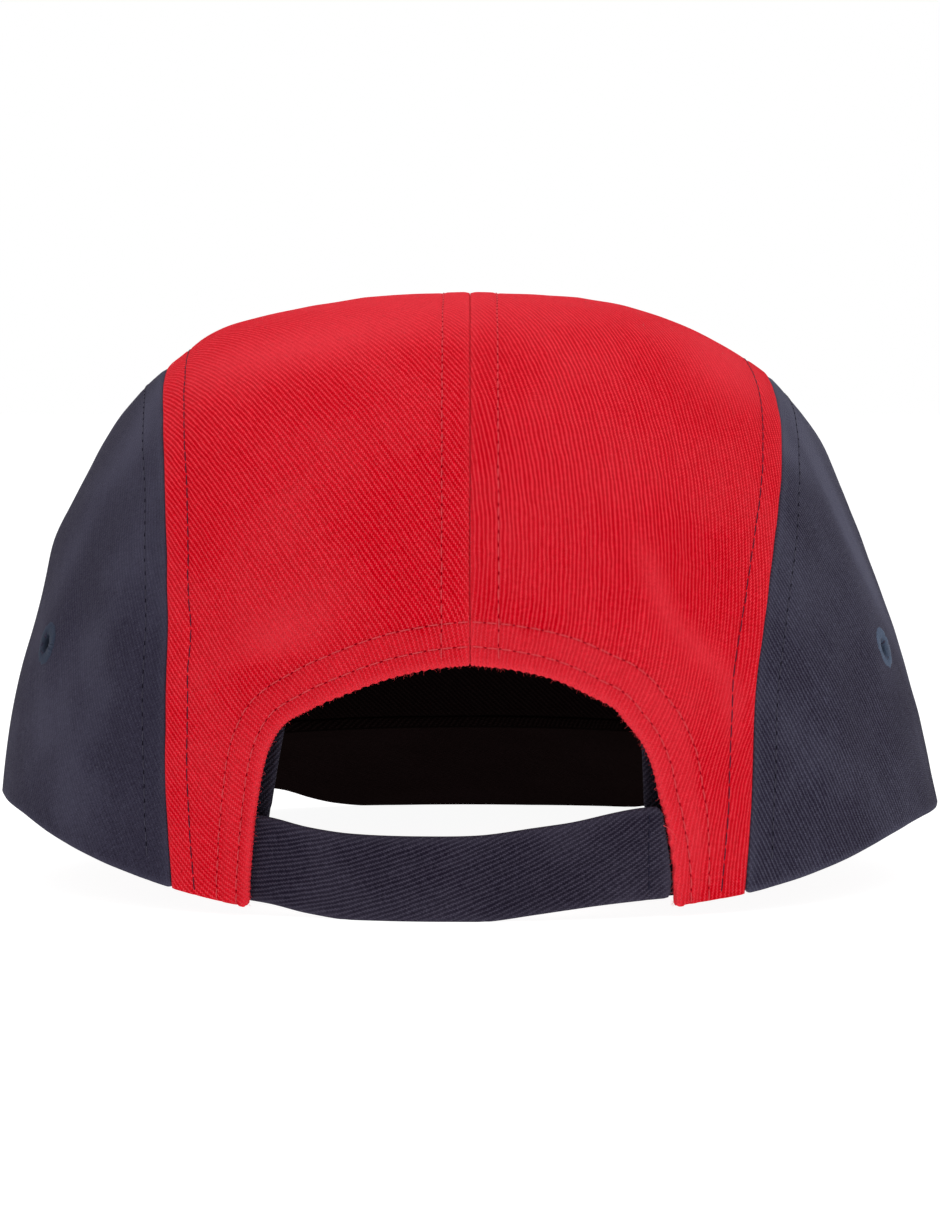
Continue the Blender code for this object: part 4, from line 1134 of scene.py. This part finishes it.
# Each eyelet is an air hole of about 3 mm, bound through the cloth with radial stitches of blue
# satin thread that lie side by side around it. The thread of the left one is faded.
EYELET_HOLE = 0.0032
EYELET_DIAMETER = 0.0096
EYELET_THICKNESS = 0.0024
EYELET_THREADS = 46
POINTS_PER_THREAD = 5
blue_threads = {
    -1: sewing_thread("faded_blue_satin_thread", (0.052, 0.066, 0.108), gloss=0.1),
    1: sewing_thread("blue_satin_thread", (0.100, 0.140, 0.225), gloss=0.3),
}
for word, side in (("left", -1), ("right", 1)):
    angle, rise = np.array([side * EYELET_ANGLE]), np.array([EYELET_RISE])
    middle = crown_cloth(angle, rise, CLOTH_WALL / 2.0)[0]
    out = crown_out(angle, rise)[0]
    level = unit(np.cross(UP, out))
    upward = np.cross(out, level)
    around, section = EYELET_THREADS * POINTS_PER_THREAD, 16
    turn = np.linspace(0.0, 2.0 * math.pi, around, endpoint=False)[:, None]
    bend = np.linspace(0.0, 2.0 * math.pi, section, endpoint=False)[None, :]
    scatter = np.random.default_rng(41 + side)
    loose = 1.0 + 0.05 * np.repeat(scatter.normal(size=EYELET_THREADS), POINTS_PER_THREAD)[:, None]
    ridge = (0.90 + 0.10 * np.abs(np.sin(turn * EYELET_THREADS / 2.0))) * np.clip(loose, 0.9, 1.02)
    thread = (EYELET_DIAMETER - EYELET_HOLE) / 4.0
    radius = (EYELET_DIAMETER + EYELET_HOLE) / 4.0 + thread * np.cos(bend) * ridge
    height = EYELET_THICKNESS / 2.0 * signed_power(np.sin(bend), 0.6) * ridge

    def around_hole(reach, raised):
        return (level * (reach * np.cos(turn))[..., None] + upward * (reach * np.sin(turn))[..., None]
                + out * (raised + 0.0 * turn)[..., None]).reshape(-1, 3)

    ring = middle + around_hole(radius, height)
    number = np.arange(around * section).reshape(around, section)
    number = np.pad(number, ((0, 1), (0, 1)), mode="wrap")
    cells = wound_out(ring, grid_cells(number), around_hole(np.cos(bend), np.sin(bend)))
    places = np.stack([turn * EYELET_THREADS / 2.0 + 0.0 * bend, bend * 2.0 + 0.0 * turn], axis=-1)
    bound = made_mesh("eyelet_" + word + "_thread", ring, cells, [blue_threads[side]],
                      weave=places.reshape(-1, 2))
    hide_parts("eyelet_" + word)

# The brim is a flat board between two layers of cloth: navy twill on top, sewn down in rows that
# follow its edge, and near-black cloth underneath, as painted shade for the underside seen through
# the arch.
BRIM_LENGTH = 0.0735
BRIM_HALF_WIDTH = 0.091
BRIM_THICKNESS = 0.0026
BRIM_HALF_SPREAD = 64.0
BRIM_END_WIDTH = 0.0030
BRIM_ROUNDNESS = 2.6
BRIM_UNDER_SWEATBAND = 0.0035
PRESSED_FLAT = 0.0004
BRIM_ROLL = 0.0011
BRIM_ROLLED_WIDTH = 0.004
BRIM_LEAN = 45.0
BRIM_ROW_SUNK, BRIM_ROW_WIDTH = 0.00022, 0.00055
BRIM_WEAR_WIDTH = 0.0018
RELIEF_FROM_CROWN = 0.006
BRIM_ROWS = (0.0045, 0.0115, 0.0185, 0.0255, 0.0325, 0.0395, 0.0465, 0.0535)
BRIM_POINTS = named_rows(
    "across left right",
    (0.00, 0.00, 0.00),
    (0.27, 0.00, 0.00),
    (0.36, 0.03, 0.00),
    (0.42, 0.08, 0.00),
    (0.50, 0.17, 0.04),
    (0.66, 0.26, 0.16),
    (0.80, 0.34, 0.30),
    (0.92, 0.44, 0.43),
    (1.00, 0.58, 0.58),
)
# Near-black lining: painted shade for the brim's underside and the inside of the crown.
painted_shade_lining = twill_cloth("painted_shade_brim_lining", (0.0026, 0.0013, 0.0013), (0.0054, 0.0028, 0.0028),
                          (0.0102, 0.0064, 0.0066), gloss=0.0, sheen=0.0, patches=0.1)
rows, columns = 74, 230
side = np.linspace(-1.0, 1.0, columns)
inner = crown_cloth(180.0 - side * BRIM_HALF_SPREAD, np.zeros(columns), BRIM_UNDER_SWEATBAND)
inner[:, 2] -= BRIM_THICKNESS
end = crown_cloth(np.array([180.0 - BRIM_HALF_SPREAD]), np.zeros(1))[0]
front = crown_cloth(np.array([180.0]), np.zeros(1))[0]
turn = side * math.pi / 2.0
power = 2.0 / BRIM_ROUNDNESS
start = end[1] - BRIM_END_WIDTH
reach = front[1] + math.sqrt(BRIM_LENGTH ** 2 - RIM_RISE ** 2) - start
across = BRIM_HALF_WIDTH * signed_power(np.sin(turn), power)
rise = read_table(BRIM_POINTS, np.abs(across) / BRIM_HALF_WIDTH)
rise = np.where(across < 0.0, rise[:, 1], rise[:, 2]) * RIM_RISE - PRESSED_FLAT
outer = np.stack([across, start + reach * np.cos(turn) ** power, rise], axis=1)
length = np.linalg.norm(outer - inner, axis=1)
from_edge = spaced(rows, (0.0, 0.1, 1.0), (0.0, 0.05, 1.0))[:, None]
shares = 1.0 - BRIM_ROLL / length - from_edge * (1.0 - BRIM_ROLL / length)
under = inner + (outer - inner) * shares[..., None]
under[..., 2] = np.maximum(under[..., 2], 0.0)
points = (under + UP * BRIM_THICKNESS).reshape(-1, 3)
out = np.broadcast_to(UP, points.shape)
cells = grid_wound_out(points, rows, columns, out)
away = ((1.0 - shares) * length).ravel()
from_crown = np.tile(length, rows) - away
relief = ripples(points, 0.040, 0.00010, 51)
for row in BRIM_ROWS:
    relief = relief - BRIM_ROW_SUNK * fading(away - row, BRIM_ROW_WIDTH)
points = points + UP * (relief * step_between(0.0, RELIEF_FROM_CROWN, from_crown))[:, None]
weave = lay_weave(points, cells, BRIM_LEAN, (points[:, 0], points[:, 1]))
rolled = away < BRIM_ROLLED_WIDTH
brim = cloth_piece("brim_cloth", points, cells, out, weave, [navy_twill, painted_shade_lining, navy_twill],
                   wall=BRIM_THICKNESS, wear_and_painted_light=EDGE_WEAR * fading(away, BRIM_WEAR_WIDTH),
                   roll=np.where(rolled, BRIM_ROLL, 0.0001), rims=np.where(rolled, 2, 1))
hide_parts("brim")
brim_rows = []
for row in BRIM_ROWS:
    wide = length > row + 0.0025
    line = (inner + (outer - inner) * (1.0 - row / length)[:, None])[wide]
    line[:, 2] = np.maximum(line[:, 2], 0.0) + BRIM_THICKNESS
    brim_rows.append((line, np.broadcast_to(UP, line.shape)))
sew("brim_stitches", brim, brim_rows, navy_tonal_thread, depth=0.002)

# The sweatband is a folded strip of navy twill inside the rim. It runs from one side of the arch
# around the forehead to the other, and its two ends show inside the arch. Its face towards the
# head, where the arch lets it show, and its edges away from the arch are near-black like the brim's
# lining: painted shade.
SWEATBAND_HEIGHT = 0.036
SWEATBAND_THICKNESS = 0.0014
SWEATBAND_LEFT_END, SWEATBAND_LEFT_SLANT = 0.0420, 0.0039
SWEATBAND_RIGHT_END, SWEATBAND_RIGHT_SLANT = 0.0374, -0.0007
SWEATBAND_CLEAR_START, SWEATBAND_CLEAR_END = 4.0, 18.0
LAYER_GAP = 0.0004
STRAP_THICKNESS = 0.0018
TAB_THICKNESS = 0.0012
STRAP_TUCK = 0.010
TAB_TUCK = 0.012


def back_angle(across):
    """The angle around the crown at which its rim reaches a place across."""
    return np.degrees(np.arcsin(across / CROWN_HALF_WIDTH))


SWEATBAND_CORNER = 0.0034
SWEATBAND_LEAN = 42.0
sweat_twill = twill_cloth("sweatband_twill", (0.014, 0.012, 0.020), (0.030, 0.026, 0.042),
                          (0.062, 0.056, 0.080), relief=0.00016)
rows, columns = 30, 420
below_middle = 0.5 - np.linspace(0.0, 1.0, rows)
starts = back_angle(SWEATBAND_RIGHT_END + SWEATBAND_RIGHT_SLANT * below_middle)
ends = 360.0 - back_angle(SWEATBAND_LEFT_END + SWEATBAND_LEFT_SLANT * below_middle)
along = spaced(columns, (0.0, 0.12, 0.88, 1.0), (0.0, 0.05, 0.95, 1.0))
angle = (starts[:, None] + (ends - starts)[:, None] * along).ravel()
from_end = np.tile(0.5 - np.abs(along - 0.5), rows) * (ends - starts).mean()
cut = SWEATBAND_CORNER * (1.0 - step_between(0.0, 7.0, from_end))
share = np.repeat(np.linspace(0.0, 0.986, rows), columns)
rise = (cut + (SWEATBAND_HEIGHT - cut) * share) / (CROWN_TOP - crown_rim(angle))
beside = CLOTH_WALL + LAYER_GAP
passing = beside + STRAP_THICKNESS + LAYER_GAP + TAB_THICKNESS
reach = back_angle(ARCH_HALF_WIDTH + max(STRAP_TUCK, TAB_TUCK))
from_back = np.abs((angle + 180.0) % 360.0 - 180.0)
near = 1.0 - step_between(reach + SWEATBAND_CLEAR_START, reach + SWEATBAND_CLEAR_END, from_back)
points = crown_cloth(angle, rise, beside + (passing - beside) * near)
out = crown_out(angle, rise)
cells = grid_wound_out(points, rows, columns, out)
points = points + out * ripples(points, 0.020, 0.00010, 61)[:, None]
weave = lay_weave(points, cells, SWEATBAND_LEAN,
                  (np.radians(angle) * CROWN_REACH, rise * CROWN_TOP), level=None)
# The inner face, and the edges more than 60 degrees from the back, take the near-black lining:
# painted shade.
sweatband = cloth_piece("sweatband_cloth", points, cells, out, weave,
                        [sweat_twill, painted_shade_lining, sweat_twill], wall=SWEATBAND_THICKNESS,
                        roll=np.where(share > 0.5, 0.0004, 0.0001),
                        rims=np.where(from_back > 60.0, 1, 2))
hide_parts("sweatband")

# The strap is a folded band of navy twill across the foot of the arch. It comes out from behind
# the left red panel and ends at the right beside the other, with a row of cross stitches at its
# end. Under that end is the plain tab that it is fastened to.
STRAP_HEIGHT = 0.0170
STRAP_SAG = 0.0041
STRAP_LEAVES_START, STRAP_LEAVES_END = 0.004, 0.035
STRAP_TOP_CORNER, STRAP_FOOT_CORNER = 0.0010, 0.0003
STRAP_WIDER_AT_END = 0.075
STRAP_WEAR_WIDTH = 0.0012
STRAP_CROSS_STITCH = 0.0347
TAB_HEIGHT = 0.0160
TAB_UNDERLAP = 0.016
TAB_ABOVE_FOOT = 0.0001
TAB_LEAN = 30.0
STRAP_ROLL = 0.0006
STRAP_POINTS = named_rows(
    "across rise",
    (-1.30, 1.05),
    (-0.95, 0.72),
    (-0.75, 0.30),
    (-0.55, 0.06),
    (-0.25, 0.00),
    (0.05, 0.06),
    (0.30, 0.40),
    (0.60, 0.78),
    (0.90, 1.00),
    (1.30, 1.10),
)


def back_wall(across, height, inset):
    """Points of the smooth back wall by place across and height, and their outward directions."""
    row = read_table(CROWN_SECTIONS, np.maximum(height, 0.0) / CROWN_TOP)
    half = np.where(across >= 0.0, row[..., 2], row[..., 1]) * CROWN_HALF_WIDTH
    back = row[..., 3] * CROWN_REACH
    share = np.minimum(np.abs(across) / half, 1.0)
    y = -back * (1.0 - share ** row[..., 5]) ** (1.0 / row[..., 5])
    out = unit(np.stack([across / half ** 2, y / back ** 2, 0.0 * y], axis=-1))
    return np.stack([across, y, height + 0.0 * y], axis=-1) - out * np.asarray(inset)[..., None], out


def strap_foot(across):
    """Height of the strap's lower edge, by place across."""
    return read_table(STRAP_POINTS, across / ARCH_HALF_WIDTH)[..., 1] * STRAP_SAG - PRESSED_FLAT


def right_end(share):
    """The strap's right end beside the arch's edge, by the share of its height."""
    height = STRAP_SAG + STRAP_HEIGHT * share
    return read_table(ARCH_POINTS, height / ARCH_HEIGHT)[..., 2] * ARCH_HALF_WIDTH - LAYER_GAP


strap_twill = twill_cloth("strap_twill", (0.012, 0.009, 0.019), (0.033, 0.027, 0.047),
                          (0.110, 0.098, 0.142), sheen=0.04, relief=0.00018, patches=0.15,
                          crests=0.65)
pale_thread = sewing_thread("lint_thread", (0.160, 0.150, 0.180))
rows, columns = 34, 170
share = np.linspace(STRAP_ROLL / STRAP_HEIGHT, 1.0 - STRAP_ROLL / STRAP_HEIGHT, rows)
left = -ARCH_HALF_WIDTH - STRAP_TUCK
corner = (step_between(0.90, 1.0, share) ** 2 * STRAP_TOP_CORNER
          + step_between(0.06, 0.0, share) ** 2 * STRAP_FOOT_CORNER)
worn = 0.00006 * np.sin(share * 61.0) + 0.00004 * np.sin(share * 137.0)
right = right_end(share) + 0.00018 - STRAP_ROLL - corner - worn
along = spaced(columns, (0.0, 0.85, 1.0), (0.0, 0.90, 1.0))
across = left + (right - left)[:, None] * along
height = strap_foot(across) + STRAP_HEIGHT * share[:, None] * (
    1.0 + STRAP_WIDER_AT_END * step_between(0.018, 0.034, across))
hidden = CLOTH_WALL + LAYER_GAP
leaving = step_between(STRAP_LEAVES_START, STRAP_LEAVES_END, across + ARCH_HALF_WIDTH)
points, out = back_wall(across, height, hidden * (1.0 - leaving))
points, out, across = points.reshape(-1, 3), out.reshape(-1, 3), across.ravel()
cells = grid_wound_out(points, rows, columns, out)
relief = ripples(points, 0.018, 0.00012, 71) + ripples(points, 0.008, 0.00005, 72)
relief -= 0.00025 * fading(across - STRAP_CROSS_STITCH, 0.00055)
points = points + out * relief[:, None]
lean = np.interp(across, (-0.043, -0.015, 0.012, 0.036), (7.0, 20.0, 26.0, 34.0))
weave = lay_weave(points, cells, lean, (points[:, 0], points[:, 2]))
edge = np.minimum(np.repeat(share, columns), 1.0 - np.repeat(share, columns)) * STRAP_HEIGHT
wear_and_painted_light = (0.35 * fading(edge, STRAP_WEAR_WIDTH)
        + 0.4 * fading(across - across.max(), STRAP_WEAR_WIDTH))
strap = cloth_piece("strap_cloth", points, cells, out, weave, [strap_twill] * 3, wall=STRAP_THICKNESS,
                    roll=STRAP_ROLL, wear_and_painted_light=wear_and_painted_light)
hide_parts("strap")
heights = np.linspace(0.0052, 0.0205, 40)
cross_row = back_wall(np.full(40, STRAP_CROSS_STITCH), heights, np.zeros(40))
sew("strap_stitches", strap, [cross_row], navy_thread, pitch=0.0022, thick=0.00024)
end_row = back_wall(right_end(share) + 0.0001, STRAP_SAG + STRAP_HEIGHT * share,
                    np.full(len(share), STRAP_ROLL))
fibres = frayed(end_row[0], np.broadcast_to(ACROSS, end_row[0].shape), end_row[1], 60, 0.0008, 75)
hairs("strap_frayed_end", fibres, FIBRE_THICKNESS, pale_thread)
loose = np.array([(0.0372, 0.0182), (0.0380, 0.0178), (0.0388, 0.0171), (0.0395, 0.0161),
                  (0.0398, 0.0151)])
loose, _ = back_wall(loose[:, 0], loose[:, 1], np.full(5, -0.0006))
hairs("loose_thread_end", [loose], 0.00018, red_thread)

rows, columns = 16, 40
share = np.linspace(0.03, 0.97, rows)
strap_end = right_end(np.array(0.0))
across = np.linspace(strap_end - TAB_UNDERLAP, strap_end + LAYER_GAP + TAB_TUCK, columns)
across = np.broadcast_to(across, (rows, columns))
height = strap_foot(across) + TAB_ABOVE_FOOT + TAB_HEIGHT * share[:, None]
points, out = back_wall(across, height, np.full(across.shape, STRAP_THICKNESS + LAYER_GAP))
points, out = points.reshape(-1, 3), out.reshape(-1, 3)
cells = grid_wound_out(points, rows, columns, out)
points = points + out * ripples(points, 0.010, 0.00005, 81)[:, None]
weave = lay_weave(points, cells, TAB_LEAN, (points[:, 0], points[:, 2]), out=out)
tab = cloth_piece("strap_tab_cloth", points, cells, out, weave, [strap_twill] * 3, wall=TAB_THICKNESS,
                  roll=0.0003)
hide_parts("strap_tab")

# The room is a white table in a white studio. One soft lamp stands high over the camera's right
# and one over the cap, and a long lens looks slightly down from the height of the cap's top.
table_mesh = bpy.data.meshes.new("white_table")
table_mesh.from_pydata([(-6.0, -6.0, 0.0), (6.0, -6.0, 0.0), (6.0, 6.0, 0.0), (-6.0, 6.0, 0.0)], [],
                       [(0, 1, 2, 3)])
table = new_object("white_table", table_mesh)
white = bpy.data.materials.new("white_table")
white.use_nodes = True
feed(white.node_tree.nodes["Principled BSDF"], {
    "Base Color": (0.30, 0.30, 0.30, 1.0), "Roughness": 0.9, "Specular IOR Level": 0.0,
    "Emission Color": (1.0, 1.0, 1.0, 1.0), "Emission Strength": 0.94})
table_mesh.materials.append(white)

world = bpy.data.worlds.new("white_studio")
bpy.context.scene.world = world
world.use_nodes = True
seen = add_node(world.node_tree, "ShaderNodeLightPath").outputs["Is Camera Ray"]
feed(world.node_tree.nodes["Background"], {
    "Color": (1.0, 1.0, 1.0, 1.0), "Strength": ramp(world.node_tree, seen, 0.0, 1.0, 0.54, 1.0)})

LAMPS_AIM = (0.0, -0.05, 0.06)
for name, place, size, power in (
    ("high_lamp", (0.30, -0.70, 1.10), 0.8, 4.55),
    ("top_lamp", (-0.20, 0.25, 0.95), 0.7, 3.3),
):
    lamp = bpy.data.lights.new(name, "AREA")
    lamp.size = size
    lamp.energy = power
    made = new_object(name, lamp)
    made.location = place
    towards = Vector(LAMPS_AIM) - Vector(place)
    made.rotation_euler = towards.to_track_quat("-Z", "Y").to_euler()

LENS_PER_SENSOR = 5221.0 / 1215.0
CAMERA_DISTANCE = 1.092
CAMERA_HEIGHT = 0.11355881
CAMERA_DOWN = 3.0206
camera_data = bpy.data.cameras.new("photo_camera")
camera_data.sensor_width = 36.0
camera_data.lens = LENS_PER_SENSOR * camera_data.sensor_width
camera_data.clip_start = 0.05
camera = new_object("photo_camera", camera_data)
camera.location = (0.0, CROWN_MIDDLE - CAMERA_DISTANCE, CAMERA_HEIGHT)
camera.rotation_euler = (math.radians(90.0 - CAMERA_DOWN), 0.0, 0.0)
bpy.context.scene.camera = camera
bpy.context.scene.view_settings.view_transform = "Standard"
